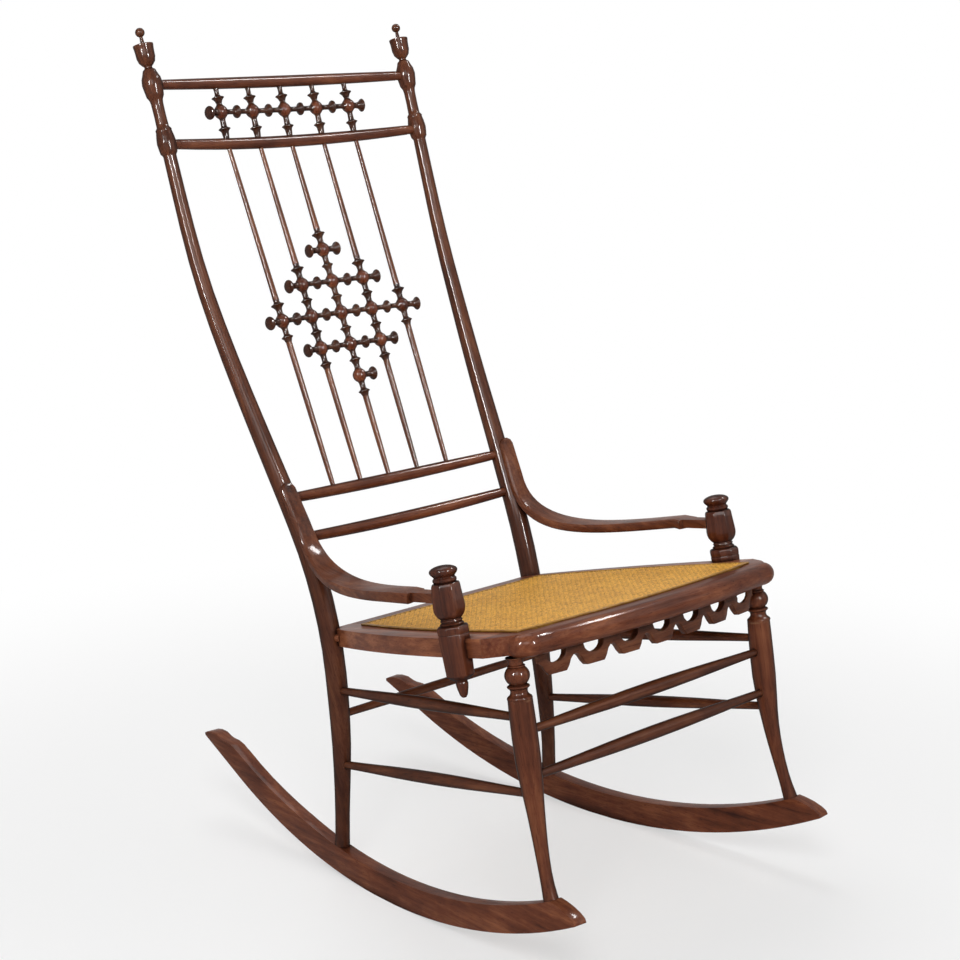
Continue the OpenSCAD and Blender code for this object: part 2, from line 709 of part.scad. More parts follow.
// pierced apron under the front rail: holes above, flat tabs and small arches below
apron_y = -30;
module apron_cut(w) {
    rotate([90, 0, 0]) linear_extrude(w, center = true) children();
}
function hole_pts() = concat([[-15, -1.2], [-15, -4]],
    [for (i = [1:7]) [-15*cos(i*22.5), -4 - 11*sin(i*22.5)]], [[15, -4], [15, -1.2]]);
module apron() {
    p = apron_pitch;
    top = -front_thick - touch;
    edge = concat([[-3.5*p, 0], [-3.5*p, -11]],
        [for (k = [-3:3]) each [[k*p - 24.5, -12], [k*p - 20.5, -15.5], [k*p - 17, -22], [k*p - 12.5, -27.5],
            [k*p + 12.5, -27.5], [k*p + 17, -22], [k*p + 20.5, -15.5], [k*p + 24.5, -12], [k*p + 28, -11]]],
        [[3.5*p, 0]]);
    color("#4f2519")
    seat_place() intersection() {
        difference() {
            translate([0, apron_y + front_bow_r, -80]) cylinder(r = front_bow_r, h = 80 + top, $fn = 360);
            translate([0, apron_y + front_bow_r, -81]) cylinder(r = front_bow_r - apron_thick, h = 82, $fn = 360);
        }
        translate([0, -40, top]) apron_cut(60) difference() {
            polygon(edge);
            for (k = [-3:3]) translate([k*p, 0]) polygon(hole_pts());
        }
    }
}

// Arms

arm_leave_z = 431;
function strip(w, t) =
    [[-t/2, -w/2 + 2.4], [-t/2 + 2.4, -w/2], [t/2 - 2.4, -w/2], [t/2, -w/2 + 2.4], [t/2, 0],
     [t/2, w/2 - 2.4], [t/2 - 2.4, w/2], [-t/2 + 2.4, w/2], [-t/2, w/2 - 2.4], [-t/2, 0]];
function bez(p, t) =
    (1 - t)*(1 - t)*(1 - t)*p[0] + 3*t*(1 - t)*(1 - t)*p[1] + 3*t*t*(1 - t)*p[2] + t*t*t*p[3];
function arm_on_post(s, z) =
    post_pt(s, z) + [s*4, 0, 0] + (post_d(z)/2 + arm_thick/2 - arm_let)*post_front(s, z);
arm_post_lean = 13.5;
function post_axis(s, w) =
    seat_world([s*arm_post_x, arm_post_y, 0]) + w*[0, sin(arm_post_lean), cos(arm_post_lean)];
arm_end_y = 67.9;
function arm_curve(s) =
    let (a = arm_on_post(s, arm_leave_z), e = post_axis(s, arm_rise) + [s*2.5, arm_end_y, -9.7])
    [a, a - 75.6*post_dir(s, arm_leave_z) + [s*2, 0, 0], e + [-s*29, 119.2, -26.1], e];
function arm_free(s, t) = bez(arm_curve(s), t);
function arm_w_at(t) =
    t < 0.35 ? herm(t, [0, 24, 20], [0.35, arm_w - 5, 40])
    : herm(t, [0.35, arm_w - 5, 40], [1, arm_w - 2, -6]);
function arm_t_at(t) = arm_thick + (arm_front_thick - arm_thick)*t*t;
// end of the strip behind the arm post
function arm_stop(s) = post_axis(s, arm_rise) + [0, arm_end_y - 16.3, -8.7];

// the flat strip; grow widens it for the housing in the post
module arm_strip(s, grow) {
    hugs = [for (i = [0:4]) arm_top_z - (arm_top_z - arm_leave_z)*i/5];
    turns = [for (i = [0:22]) i/22];
    up = post_dir(s, arm_top_z);
    g = 2*grow;
    skin(concat(
        [ring_at(arm_on_post(s, arm_top_z) + (8 + grow)*up, -up, [1, 0, 0], strip(9 + g, arm_thick - 3 + g)),
         ring_at(arm_on_post(s, arm_top_z) + 5*up, -up, [1, 0, 0], strip(17 + g, arm_thick + g))],
        [for (i = [0:4]) ring_at(arm_on_post(s, hugs[i]), -post_dir(s, hugs[i]), [1, 0, 0],
            strip(22 + i/2 + g, arm_thick + g))],
        [for (t = turns) ring_at(arm_free(s, t), unit(arm_free(s, t + 0.01) - arm_free(s, t - 0.01)),
            [1, 0, 0], strip(arm_w_at(t) + g, arm_t_at(t) + g))],
        [ring_at(arm_stop(s), unit(arm_stop(s) - arm_free(s, 1)), [1, 0, 0], strip(arm_w - 6 + g, arm_front_thick + g))]));
}
module arm(s) {
    color("#5a2b1e")
    union() {
        arm_strip(s, 0);
        arm_tongue(s, 0);
    }
}
module arm_tongue(s, more) {
    a = arm_stop(s) + [0, 6, 0];
    b = post_axis(s, arm_rise);
    len = norm(b - a);
    thick = arm_front_thick - 1.2;
    along(a, b) translate([-thick/2 - more, -10 - more, more > 0 ? 30 : 0])
        cube([thick + 2*more, 20 + 2*more, more > 0 ? len - 24.6 : len + 5.2]);
}
module arm_left() { arm(1); }
module arm_right() { arm(-1); }

// eight sided turned body through a list of [height, radius]
module eight_sided(p) {
    rotate([0, 0, 22.5])
        for (i = [0:len(p) - 2])
            translate([0, 0, p[i][0]])
                cylinder(r1 = p[i][1], r2 = p[i + 1][1], h = p[i + 1][0] - p[i][0], $fn = 8);
}

// turned arm post with eight sided bodies, notched over the edge of the seat rail
module arm_post(s) {
    r = arm_post_d/2/cos(22.5);
    color("#45201a")
    difference() {
        translate(post_axis(s, 0)) rotate([-arm_post_lean, 0, 0]) union() {
            rotate_extrude()
                polygon([[0, -67.5], [2.6, -66.8], [4.6, -64], [6.4, -57], [7.3, -51], [6.6, -48.4], [8.4, -47],
                    [8.4, -44], [7, -43], [7, 7], [14.2, 7.6], [14.2, 9.2], [13.4, 10.4], [15.6, 12], [15.6, 15], [13.4, 17],
                    [9.6, 20], [9.6, 24], [8, 25], [8, 60], [12.2, 62], [12.4, 64], [11, 66.5], [8.8, 67.4], [9, 69],
                    [11.6, 72.4], [14.2, 75.6], [14, 77.2], [12, 79.6], [8, 81.8], [0, 82.8]]);
            eight_sided([[-46, 10.5], [-41, r - 2], [5, r], [8.4, r - 1.4]]);
            eight_sided([[22, 10.6], [24, 11.4], [26, 12.6], [30, 15.2], [38, r - 0.7], [48, r], [60, r - 1.8], [65, 14.6]]);
        }
        seat_place() scale([s, 1, 1]) intersection() {
            side_drum(touch);
            translate([200, 20, -seat_thick - touch]) cube([80, 90, seat_thick + 2*touch]);
        }
        arm_tongue(s, fit);
    }
}
module arm_post_left() { arm_post(1); }
module arm_post_right() { arm_post(-1); }

// Front legs

module front_leg(s) {
    q = leg_ball_d/2;
    heights = [85, 100, 112, 125, 140, 155, 170, 187, 205, 225, 250, 275, 300, leg_body_z];
    color("#5d2b1c")
    difference() {
        union() {
            intersection() {
                skin([for (z = heights) ring_at(leg_pt(s, z), leg_dir(s, z), [1, 0, 0],
                    circle_pts(leg_w(z)/2, 20))]);
                rocker_place(s) rocking_drum(rk_top_r - touch, 200);
            }
            leg_place(s) {
                rotate_extrude()
                    polygon([[0, -54], [12, -54], [leg_d/2 - 1.6, -49], [leg_d/2 - 1, -45], [leg_d/2 - 2.6, -40.6],
                        [8, -38.8], [7.6, -37.2], [9.4, -36], [9.4, -34.6], [7.4, -33.6], [7.4, -32.4], [9, -31.2],
                        [9, -9.6], [10.4, -7.8], [9.4, -6.2], [9.6, -5], [12.2, -3.8], [12.4, -touch],
                        [7, -touch], [7, 15], [0, 15]]);
                translate([0, 0, -19.8]) sphere(r = q);
            }
            rod(leg_pt(s, leg_foot_z) - 17*leg_dir(s, leg_foot_z), leg_pt(s, leg_foot_z) + 12*leg_dir(s, leg_foot_z),
                leg_pin);
        }
        side_pin(s, 0, 0, stretcher_end_d + 2*fit, 6);
        side_pin(s, 1, 0, stretcher_end_d + 2*fit, 6);
        front_pin(s, 0, stretcher_end_d + 2*fit, 6);
        front_pin(s, 1, stretcher_end_d + 2*fit, 6);
    }
}
module front_leg_left() { front_leg(1); }
module front_leg_right() { front_leg(-1); }

// Stretchers: turned bars, thickest in the middle, round ends in blind holes

leg_side_z = [297, 211];
leg_front_z = [281.4, 230];
function side_a(s, i) = post_pt(s, pin_z[i]);
function side_b(s, i) = leg_pt(s, leg_side_z[i]);
// one end of a side stretcher: e = 1 in the post, e = 0 in the leg
module side_pin(s, i, e, d, more) {
    a = e == 1 ? side_a(s, i) : side_b(s, i);
    b = e == 1 ? side_b(s, i) : side_a(s, i);
    v = unit(b - a);
    rod(a + (more > 0 ? -2.2 : -2)*v, a + (12 + more)*v, d);
}
module front_pin(s, i, d, more) {
    a = leg_pt(s, leg_front_z[i]);
    v = [-s, 0, 0];
    rod(a + (more > 0 ? -2.2 : -2)*v, a + (12 + more)*v, d);
}
module back_pin(s, d, more) {
    a = post_pt(s, pin_z[2]);
    v = [-s, 0, 0];
    rod(a + (more > 0 ? -2.2 : -2)*v, a + (12 + more)*v, d);
}
module barrel(a, b, e, m) {
    gap = norm(b - a);
    along(a, b) rotate_extrude(convexity = 4)
        polygon(concat([[0, -2], [e/2, -2], [e/2, 18]],
            [for (i = [1:9]) [e/2 + (m - e)/2*pow(sin(18*i), 1.3), 18 + (gap - 36)*i/10]],
            [[e/2, gap - 18], [e/2, gap + 2], [0, gap + 2]]));
}
module side_stretcher_upper_left() {
    color("#542719") barrel(side_a(1, 0), side_b(1, 0), stretcher_end_d, stretcher_d);
}
module side_stretcher_upper_right() {
    color("#542719") barrel(side_a(-1, 0), side_b(-1, 0), stretcher_end_d, stretcher_d);
}
module side_stretcher_lower_left() {
    color("#542719") barrel(side_a(1, 1), side_b(1, 1), stretcher_end_d, stretcher_d);
}
module side_stretcher_lower_right() {
    color("#542719") barrel(side_a(-1, 1), side_b(-1, 1), stretcher_end_d, stretcher_d);
}
module front_stretcher_upper() {
    color("#5b2a1b") barrel(leg_pt(-1, leg_front_z[0]), leg_pt(1, leg_front_z[0]), stretcher_end_d, front_stretcher_d);
}
module front_stretcher_lower() {
    color("#5b2a1b") barrel(leg_pt(-1, leg_front_z[1]), leg_pt(1, leg_front_z[1]), stretcher_end_d, front_stretcher_d);
}
module back_stretcher() {
    color("#4a2116") barrel(post_pt(-1, pin_z[2]), post_pt(1, pin_z[2]), stretcher_end_d, back_stretcher_d);
}

rocker_left();
rocker_right();
back_post_left();
back_post_right();
finial_left();
finial_right();
crest_rail();
gallery_rail();
lower_back_rail();
lumbar_rail();
gallery_spindle_1();
gallery_spindle_2();
gallery_spindle_3();
gallery_spindle_4();
gallery_spindle_5();
long_spindle_1();
long_spindle_2();
long_spindle_3();
long_spindle_4();
long_spindle_5();
gallery_beads();
gallery_knobs();
lattice_beads_row_2();
lattice_beads_row_3();
lattice_beads_row_4();
lattice_knobs_row_1();
lattice_knobs_row_2();
lattice_knobs_row_3();
lattice_knobs_row_4();
lattice_knob_row_5();
seat_rail_left();
seat_rail_right();
seat_rail_back();
seat_rail_front();
cane_panel();
apron();
arm_left();
arm_right();
arm_post_left();
arm_post_right();
front_leg_left();
front_leg_right();
side_stretcher_upper_left();
side_stretcher_upper_right();
side_stretcher_lower_left();
side_stretcher_lower_right();
front_stretcher_upper();
front_stretcher_lower();
back_stretcher();
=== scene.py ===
"""Dresses the solids of a stick and ball rocking chair in stained wood and weaves its cane seat."""

import json
import math

import bpy
from bpy.props import FloatProperty, FloatVectorProperty, PointerProperty
from mathutils import Matrix, Vector

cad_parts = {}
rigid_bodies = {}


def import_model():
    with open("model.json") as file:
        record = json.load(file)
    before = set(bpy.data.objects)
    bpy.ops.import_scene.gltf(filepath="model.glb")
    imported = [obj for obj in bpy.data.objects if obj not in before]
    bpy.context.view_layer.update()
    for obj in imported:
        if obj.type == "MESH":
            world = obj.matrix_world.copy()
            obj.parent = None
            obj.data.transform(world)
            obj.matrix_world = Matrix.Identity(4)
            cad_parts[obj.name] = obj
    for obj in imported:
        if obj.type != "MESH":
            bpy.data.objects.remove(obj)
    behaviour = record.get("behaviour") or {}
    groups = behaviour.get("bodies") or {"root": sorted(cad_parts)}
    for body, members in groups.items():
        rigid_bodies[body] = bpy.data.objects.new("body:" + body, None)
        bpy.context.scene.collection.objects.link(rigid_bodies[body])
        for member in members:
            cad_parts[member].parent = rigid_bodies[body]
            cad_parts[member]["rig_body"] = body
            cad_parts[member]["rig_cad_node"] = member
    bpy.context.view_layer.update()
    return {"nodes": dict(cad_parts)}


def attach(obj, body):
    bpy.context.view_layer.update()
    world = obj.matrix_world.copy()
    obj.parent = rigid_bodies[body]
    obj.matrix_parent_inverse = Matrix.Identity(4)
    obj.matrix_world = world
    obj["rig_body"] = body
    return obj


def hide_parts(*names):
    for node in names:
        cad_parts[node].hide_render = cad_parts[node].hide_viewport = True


bl_info = {
    "name": "Stick and Ball Rocking Chair",
    "version": (1, 0, 0),
    "blender": (4, 5, 0),
    "location": "3D View > Sidebar > Rocking Chair",
    "description": "Stained and varnished turned wood with a woven cane seat, on ready made solids",
    "category": "Object",
}

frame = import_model()
SOLIDS = frame["nodes"]
BODY = "root"

MM = 0.001
LEFT_RIGHT = ("left", "right")
CROSS_RAILS = ("crest_rail", "gallery_rail", "lower_back_rail", "lumbar_rail")
RUN = {"x": (0.045, 1.0, 1.0), "y": (1.0, 0.045, 1.0), "z": (1.0, 1.0, 0.045)}  # stretches the grain

CAMERA_PLACE = (-1.8681, -1.8680, 1.0932)  # camera and lens as solved from the photo
CAMERA_TURN = (math.radians(77.12), 0.0, math.radians(-45.07))
CAMERA_LENS = 80.63
LAMP_AIM = Vector((0.0, 0.0, 0.5))

# The seat's own frame: x to the left, y to the back, z up from the top of the rails.
SEAT_TILT = math.radians(12.35)
SEAT_FRONT = Vector((0.0, -0.2699, 0.3916))  # where it starts on the chair, above the front legs
SEAT_UP = (0.0, math.sin(SEAT_TILT), math.cos(SEAT_TILT))

# The opening and its weave, in the seat's own frame.
FRONT_BOW = 1.0  # radius of the bowed front
FRONT_FACET = math.radians(3.4)
FRONT_EDGE = -23.5 * MM
BACK_EDGE = 321.5 * MM
SIDE_FRONT = Vector((207.5, 32.0)) * MM  # ends of the bulging left side
SIDE_BACK = Vector((163.0, 312.0)) * MM
SIDE_BULGE = 10 * MM
SIDE_FACETS = 5
WEAVE_START = -32 * MM
WEAVE_LIFT = 1.15 * MM  # middle of the weave above the top of the rails
SAG_MIDDLE = 150 * MM
SAG_REACH = (190 * MM, 170 * MM)
BINDER_SECTION = (  # inset from the opening and height, in mm
    (1.0, -4.5), (0.4, 0.5), (1.2, 1.2), (2.8, 1.5), (4.4, 1.2), (5.2, 0.5), (4.6, -4.5),
)

# The back, in mm.
BACK_RAILS = {  # where each centre line meets the left post, and how far its middle bows and drops
    "crest": ((217.5, 358.8, 975.0), 16.0, 2.4),
    "gallery": ((216.05, 334.875, 902.5), 16.0, 7.4),
    "lower": ((189.44, 146.01, 472.0), 17.0, 7.0),
}
PITCH_TOP = 55.0  # from spindle to spindle at the crest and gallery rails
PITCH_LOW = 50.5  # and at the lower back rail
LATTICE_MIDDLE = 675.5
MIDDLE_ROW = 3
ROW_STEP = 40.0
LATTICE_ROWS = range(1, 6)
GALLERY_RISE = 2.0  # gallery balls above the middle between the rails
BALL_REACH = 8.6  # half the height of the red part of a ball
PEG_END = (2.4, 2.8)  # from the rail's centre line to the end of a peg, and the peg's radius

# Arm posts and front legs, in mm: where the left axis starts, and where the head meets the solid.
ARM_POST_LEAN = math.radians(13.5)
ARM_POST_BASE = (243.5, -206.9, 377.8)
ARM_POST_CUT = 7.6
LEG_TOP = (216.5, -275.7, 365.2)
LEG_RUN = (0.0, 0.165, 0.986)
LEG_CUT = 46.4
OCTAGON_TURN = math.radians(22.5)

# Heights along the axis and radii of turned pieces, in mm.
ARM_POST_SHOULDER = [(6.5, 19.0), (12.5, 19.3), (15.0, 18.6), (16.2, 16.5), (16.8, 13.5)]
ARM_POST_RINGS = [
    (16.0, 12.0), (16.8, 13.6), (18.2, 14.0), (19.2, 13.2), (19.8, 11.9), (20.6, 12.0), (21.6, 12.9),
    (22.6, 12.7), (23.4, 11.8), (25.5, 11.6),
]
ARM_POST_BODY = [
    (23.8, 11.8), (24.6, 13.2), (27.0, 15.8), (30.5, 18.2), (34.5, 19.4), (38.5, 19.6), (47.0, 18.9),
    (56.0, 18.1), (62.0, 17.7), (64.2, 16.8), (65.2, 14.0),
]
ARM_POST_CAP = [
    (64.0, 12.4), (65.8, 13.0), (67.2, 13.9), (69.6, 13.9), (70.8, 12.6), (71.8, 12.1), (73.0, 13.0),
    (74.8, 14.7), (76.4, 15.9), (77.8, 16.4), (79.4, 16.3), (81.0, 15.3), (82.6, 12.9), (83.9, 9.6),
    (84.7, 5.8), (85.0, 2.5),
]
LEG_HEAD = [
    (-1.0, 11.6), (0.6, 10.6), (2.6, 8.9), (5.2, 8.3), (7.2, 8.6), (8.4, 10.2), (9.4, 10.3), (10.2, 9.6),
    (10.9, 10.4), (12.3, 11.9), (14.8, 13.4), (17.3, 14.3), (19.8, 14.6), (22.3, 14.3), (24.8, 13.4),
    (27.3, 11.9), (29.0, 10.2), (29.9, 9.8), (30.6, 11.4), (31.6, 12.9), (32.8, 13.1), (33.9, 12.2),
    (35.0, 10.5), (37.5, 9.9), (39.8, 10.2), (41.8, 11.4), (43.2, 13.2), (44.2, 14.2), (45.6, 14.7),
    (46.6, 14.5), (50.0, 12.0),
]
HALF_BALL = [(8.3, 4.9), (7.5, 5.5), (6.3, 6.8), (4.6, 8.0), (3.0, 8.8), (1.4, 9.1)]


class ChairWood(bpy.types.PropertyGroup):
    """Colours and finish of the stained wood."""

    dark: FloatVectorProperty(
        name="Dark Stain",
        description="Colour of the stain in the dark streaks",
        default=(0.030, 0.0085, 0.0048),
        subtype="COLOR",
        size=3,
        min=0.0,
        max=1.0,
    )
    middle: FloatVectorProperty(
        name="Middle Stain",
        description="Colour of the stain on most of the wood",
        default=(0.138, 0.0415, 0.0180),
        subtype="COLOR",
        size=3,
        min=0.0,
        max=1.0,
    )
    light: FloatVectorProperty(
        name="Light Stain",
        description="Colour of the stain in the pale streaks",
        default=(0.290, 0.105, 0.045),
        subtype="COLOR",
        size=3,
        min=0.0,
        max=1.0,
    )
    worn: FloatVectorProperty(
        name="Worn Edge",
        description="Colour of the wood where the varnish is worn thin",
        default=(0.330, 0.160, 0.085),
        subtype="COLOR",
        size=3,
        min=0.0,
        max=1.0,
    )
    wear: FloatProperty(
        name="Edge Wear",
        description="How much the edges are worn",
        default=0.5,
        subtype="FACTOR",
        min=0.0,
        max=1.0,
    )
    edge_round: FloatProperty(
        name="Edge Rounding",
        description="Radius of the softened edges of the sawn boards",
        default=1.3 * MM,
        unit="LENGTH",
        min=0.3 * MM,
        max=3.0 * MM,
    )


class ChairCane(bpy.types.PropertyGroup):
    """Sizes and colours of the woven seat."""

    pitch: FloatProperty(
        name="Hole Spacing",
        description="Distance from one hole of the weave to the next",
        default=8.6 * MM,
        unit="LENGTH",
        min=8.0 * MM,
        max=16.0 * MM,
    )
    straight_width: FloatProperty(
        name="Straight Strand Width",
        description="Width of the strands that run along and across the seat",
        default=2.6 * MM,
        unit="LENGTH",
        min=1.5 * MM,
        max=3.2 * MM,
    )
    slant_width: FloatProperty(
        name="Slanting Strand Width",
        description="Width of the strands that run aslant",
        default=1.8 * MM,
        unit="LENGTH",
        min=1.5 * MM,
        max=3.2 * MM,
    )
    strand_thick: FloatProperty(
        name="Strand Thickness",
        description="Thickness of a strand",
        default=0.8 * MM,
        unit="LENGTH",
        min=0.4 * MM,
        max=1.2 * MM,
    )
    sag: FloatProperty(
        name="Sag",
        description="How far the middle of the seat hangs below its rim",
        default=3.0 * MM,
        unit="LENGTH",
        min=0.0,
        max=10.0 * MM,
    )
    pale: FloatVectorProperty(
        name="Pale Cane",
        description="Colour of the pale strands",
        default=(0.860, 0.455, 0.080),
        subtype="COLOR",
        size=3,
        min=0.0,
        max=1.0,
    )
    golden: FloatVectorProperty(
        name="Golden Cane",
        description="Colour of the darker strands",
        default=(0.560, 0.265, 0.040),
        subtype="COLOR",
        size=3,
        min=0.0,
        max=1.0,
    )


class ChairStage(bpy.types.PropertyGroup):
    """Camera, floor and lamps."""

    floor: FloatVectorProperty(
        name="Floor Colour",
        description="Colour of the floor",
        default=(0.93, 0.93, 0.93),
        subtype="COLOR",
        size=3,
        min=0.0,
        max=1.0,
    )
    surround: FloatProperty(
        name="Surround Light",
        description="Strength of the light that comes from all round",
        default=0.2,
        min=0.0,
        max=2.0,
    )
    key: FloatProperty(
        name="Key Lamp",
        description="Power of the large lamp in front",
        default=66.0,
        unit="POWER",
        min=0.0,
        max=400.0,
    )
    fill: FloatProperty(
        name="Fill Lamp",
        description="Power of the lamp on the right",
        default=12.0,
        unit="POWER",
        min=0.0,
        max=400.0,
    )
    top: FloatProperty(
        name="Top Lamp",
        description="Power of the lamp overhead",
        default=40.0,
        unit="POWER",
        min=0.0,
        max=400.0,
    )
    glint: FloatProperty(
        name="Window Glints",
        description="Power of the narrow lamps that show only as reflections in the varnish",
        default=230.0,
        unit="POWER",
        min=0.0,
        max=400.0,
    )


class Value:
    """A number, colour or vector on its way through a material."""

    def __init__(self, finish, socket):
        self.finish = finish
        self.socket = socket

    def __add__(self, other):
        return self.finish.math("ADD", self, other)

    __radd__ = __add__

    def __sub__(self, other):
        return self.finish.math("SUBTRACT", self, other)

    def __rsub__(self, other):
        return self.finish.math("SUBTRACT", other, self)

    def __mul__(self, other):
        return self.finish.math("MULTIPLY", self, other)

    __rmul__ = __mul__

    def clamped(self):
        return self.finish.node("ShaderNodeClamp", inputs={"Value": self})

    def above(self, low, high):
        """0 under low, 1 over high and smooth between."""
        return self.finish.node(
            "ShaderNodeMapRange",
            {"interpolation_type": "SMOOTHSTEP"},
            {"Value": self, "From Min": low, "From Max": high},
        )


class Finish:
    """A material and the nodes that make it."""

    def __init__(self, name, tree=None):
        if tree is None:
            self.material = bpy.data.materials.new(name)
            self.material.use_nodes = True
            tree = self.material.node_tree
        self.tree = tree
        self.tree.nodes.clear()

    def node(self, kind, settings=None, inputs=None, out=0):
        """Adds a node; the setting "stops" holds the places and colours of a colour ramp."""
        made = self.tree.nodes.new(kind)
        for key, value in (settings or {}).items():
            if key == "stops":
                ramp = made.color_ramp
                while len(ramp.elements) < len(value):
                    ramp.elements.new(1.0)
                for stop, (where, colour) in zip(ramp.elements, value):
                    stop.position = where
                    stop.color = (*colour, 1.0)
            else:
                setattr(made, key, value)
        for key, value in (inputs or {}).items():
            socket = made.inputs[key]
            if isinstance(value, Value):
                self.tree.links.new(value.socket, socket)
            elif socket.type == "RGBA":
                socket.default_value = (*value, 1.0)
            else:
                socket.default_value = value
        return Value(self, made.outputs[out]) if len(made.outputs) else made

    def math(self, operation, a, b):
        return self.node("ShaderNodeMath", {"operation": operation}, {0: a, 1: b})

    def blend(self, a, b, mask):
        """Colour a turned into colour b where the mask is 1."""
        return self.node("ShaderNodeMix", {"data_type": "RGBA"}, {0: mask, 6: a, 7: b}, out=2)

    def noise(self, place, scale, detail=2.0, rough=0.5, warp=0.0):
        inputs = {"Vector": place, "Scale": scale, "Detail": detail}
        return self.node("ShaderNodeTexNoise", inputs={**inputs, "Roughness": rough, "Distortion": warp})

    def place(self, squeeze=(1.0, 1.0, 1.0), turn=(0.0, 0.0, 0.0), shift=(0.0, 0.0, 0.0)):
        """Object coordinates, turned and then squeezed."""
        where = self.node("ShaderNodeTexCoord", out="Object")
        inputs = {"Vector": where, "Rotation": turn, "Location": shift}
        turned_place = self.node("ShaderNodeMapping", inputs=inputs)
        return self.node("ShaderNodeMapping", inputs={"Vector": turned_place, "Scale": squeeze})

    def cavity(self, distance, **settings):
        """1 where the surface is open to the light, 0 in a crease no wider than distance."""
        return self.node(
            "ShaderNodeAmbientOcclusion", {"samples": 6, **settings}, {"Distance": distance}, out="AO"
        )

    def bump(self, height, strength, depth):
        inputs = {"Strength": strength, "Distance": depth, "Height": height}
        return self.node("ShaderNodeBump", inputs=inputs, out="Normal")

    def surface(self, inputs):
        shader = self.node("ShaderNodeBsdfPrincipled", inputs=inputs)
        self.node("ShaderNodeOutputMaterial", inputs={"Surface": shader})
        return self.material


def along(node, run):
    """Turn about x that lays a leaning piece along y or z, so that its grain follows it."""
    solid = SOLIDS[node]
    points = [solid.matrix_world @ vertex.co for vertex in solid.data.vertices]
    middle = sum(points, Vector()) / len(points)
    off = [point - middle for point in points]
    yy, zz, yz = (sum(d[i] * d[j] for d in off) for i, j in ((1, 1), (2, 2), (1, 2)))
    lean = 0.5 * math.atan2(2 * yz, yy - zz)
    if run == "z":
        return (math.copysign(math.pi / 2, lean) - lean, 0, 0)
    return (-lean, 0, 0)


def stained_wood(
    name,
    run,
    tone=1.0,
    red=0.0,
    streaks=1.0,
    sheen=1.0,
    wear=1.0,
    turn=(0.0, 0.0, 0.0),
    shift=0.0,
    foot=0.0,
    rims=0.88,
):
    """Varnished wood whose grain runs along an axis, tone times as light as the usual stain.

    foot is how much painted shade darkens the low end of a piece, and rims how much painted shade
    darkens the faces that are seen aslant; creases always get painted shade.
    """
    wood = bpy.context.scene.chair_wood
    finish = Finish(name)

    def toned(colour):
        shares = (1 + red, 1 - red * 0.5, 1 - red * 0.6)
        return tuple(c * tone * share for c, share in zip(colour, shares))

    dark, middle, light = (toned(c) for c in (wood.dark, wood.middle, wood.light))
    worn = tuple(c * min(tone, 1.0) for c in wood.worn)
    start = (shift, shift * 0.7, shift * 1.3)
    fibre = finish.place(RUN[run], turn, start)
    round_about = finish.place(shift=start)
    cloud = finish.noise(round_about, 13.0, 3.0, 0.55)
    band = finish.noise(fibre, 62.0, 4.0, 0.6, 0.4)
    streak = finish.noise(fibre, 210.0, 5.0, 0.65, 0.2)
    hair = finish.noise(fibre, 900.0, 3.0, 0.6)
    pore_run = finish.place(tuple(s * 0.5 if s < 1 else s for s in RUN[run]), turn, start)
    pores = finish.noise(pore_run, 1500.0, 1.0).above(0.63, 0.74)
    clouded, banded, streaked = 0.34, 0.36 * streaks, 0.3 * streaks
    plain = 1 - clouded - banded - streaked
    grain = cloud * clouded + band * banded + streak * streaked + 0.5 * plain
    colour = finish.node(
        "ShaderNodeValToRGB",
        {"stops": [(0.33, dark), (0.5, middle), (0.68, light)]},
        {"Fac": grain},
    )
    colour = finish.blend(colour, dark, pores * 0.75)
    colour = finish.blend(colour, dark, hair.above(0.5, 0.75) * 0.35)
    # painted shade: darker towards the low end of a piece
    if foot:
        height_up = finish.node("ShaderNodeSeparateXYZ", inputs={0: finish.place()}, out="Z")
        colour = finish.blend(colour, dark, (1 - height_up.above(0.2, 0.7)) * foot)
    # painted shade: darker in creases and where parts meet, found by ambient occlusion; the same mask
    # also roughens and dulls the varnish there
    crease_shade = (1 - finish.cavity(14 * MM)).above(0.15, 0.62)
    # painted shade: faces seen aslant, such as the edges of round pieces, turn dark
    aslant = finish.node("ShaderNodeLayerWeight", inputs={"Blend": 0.5}, out="Facing").above(0.22, 0.82)
    edge = finish.cavity(2.2 * MM, inside=True)
    rub = finish.noise(round_about, 95.0, 3.0, 0.7)
    worn_off = ((1 - edge).above(0.3, 0.8) * rub.above(0.42, 0.62)) * (wood.wear * wear)
    colour = finish.blend(colour, worn, worn_off)
    # paints shade on the faces seen aslant, as much as rims asks
    colour = finish.blend(colour, tuple(c * 0.5 for c in dark), aslant * rims)
    # paints shade in the creases
    colour = finish.blend(colour, tuple(c * 0.25 for c in dark), crease_shade * 0.8)
    height = streak * 0.5 + hair * 0.2 - pores * 0.5 + cloud * 0.8
    smear = finish.noise(round_about, 34.0, 4.0, 0.6)
    varnish = (0.24 - smear * 0.12 - worn_off * 0.2) * sheen
    return finish.surface(
        {
            "Base Color": colour,
            "Roughness": (0.32 + smear * 0.2 + crease_shade * 0.25 + worn_off * 0.2).clamped(),
            "Specular IOR Level": 0.02,
            "Coat Weight": (varnish * (1 - aslant * (1.04 * rims)) * (1 - crease_shade * 0.7)).clamped(),
            "Coat Roughness": 0.12,
            "Coat IOR": 1.5,
            "Normal": finish.bump(height, 0.35, 0.35 * MM),
        }
    )


def pick(*pieces):
    """Selects only these pieces; the first is the active one."""
    bpy.ops.object.select_all(action="DESELECT")
    for piece in pieces:
        piece.select_set(True)
    bpy.context.view_layer.objects.active = pieces[0]


def edit(piece):
    """Edit mode on one piece, with all of its mesh selected."""
    pick(piece)
    bpy.ops.object.mode_set(mode="EDIT")
    bpy.ops.mesh.select_all(action="SELECT")


def apply_modifier(piece, kind, **settings):
    modifier = piece.modifiers.new(kind.title(), kind)
    for key, value in settings.items():
        setattr(modifier, key, value)
    pick(piece)
    bpy.ops.object.modifier_apply(modifier=modifier.name)


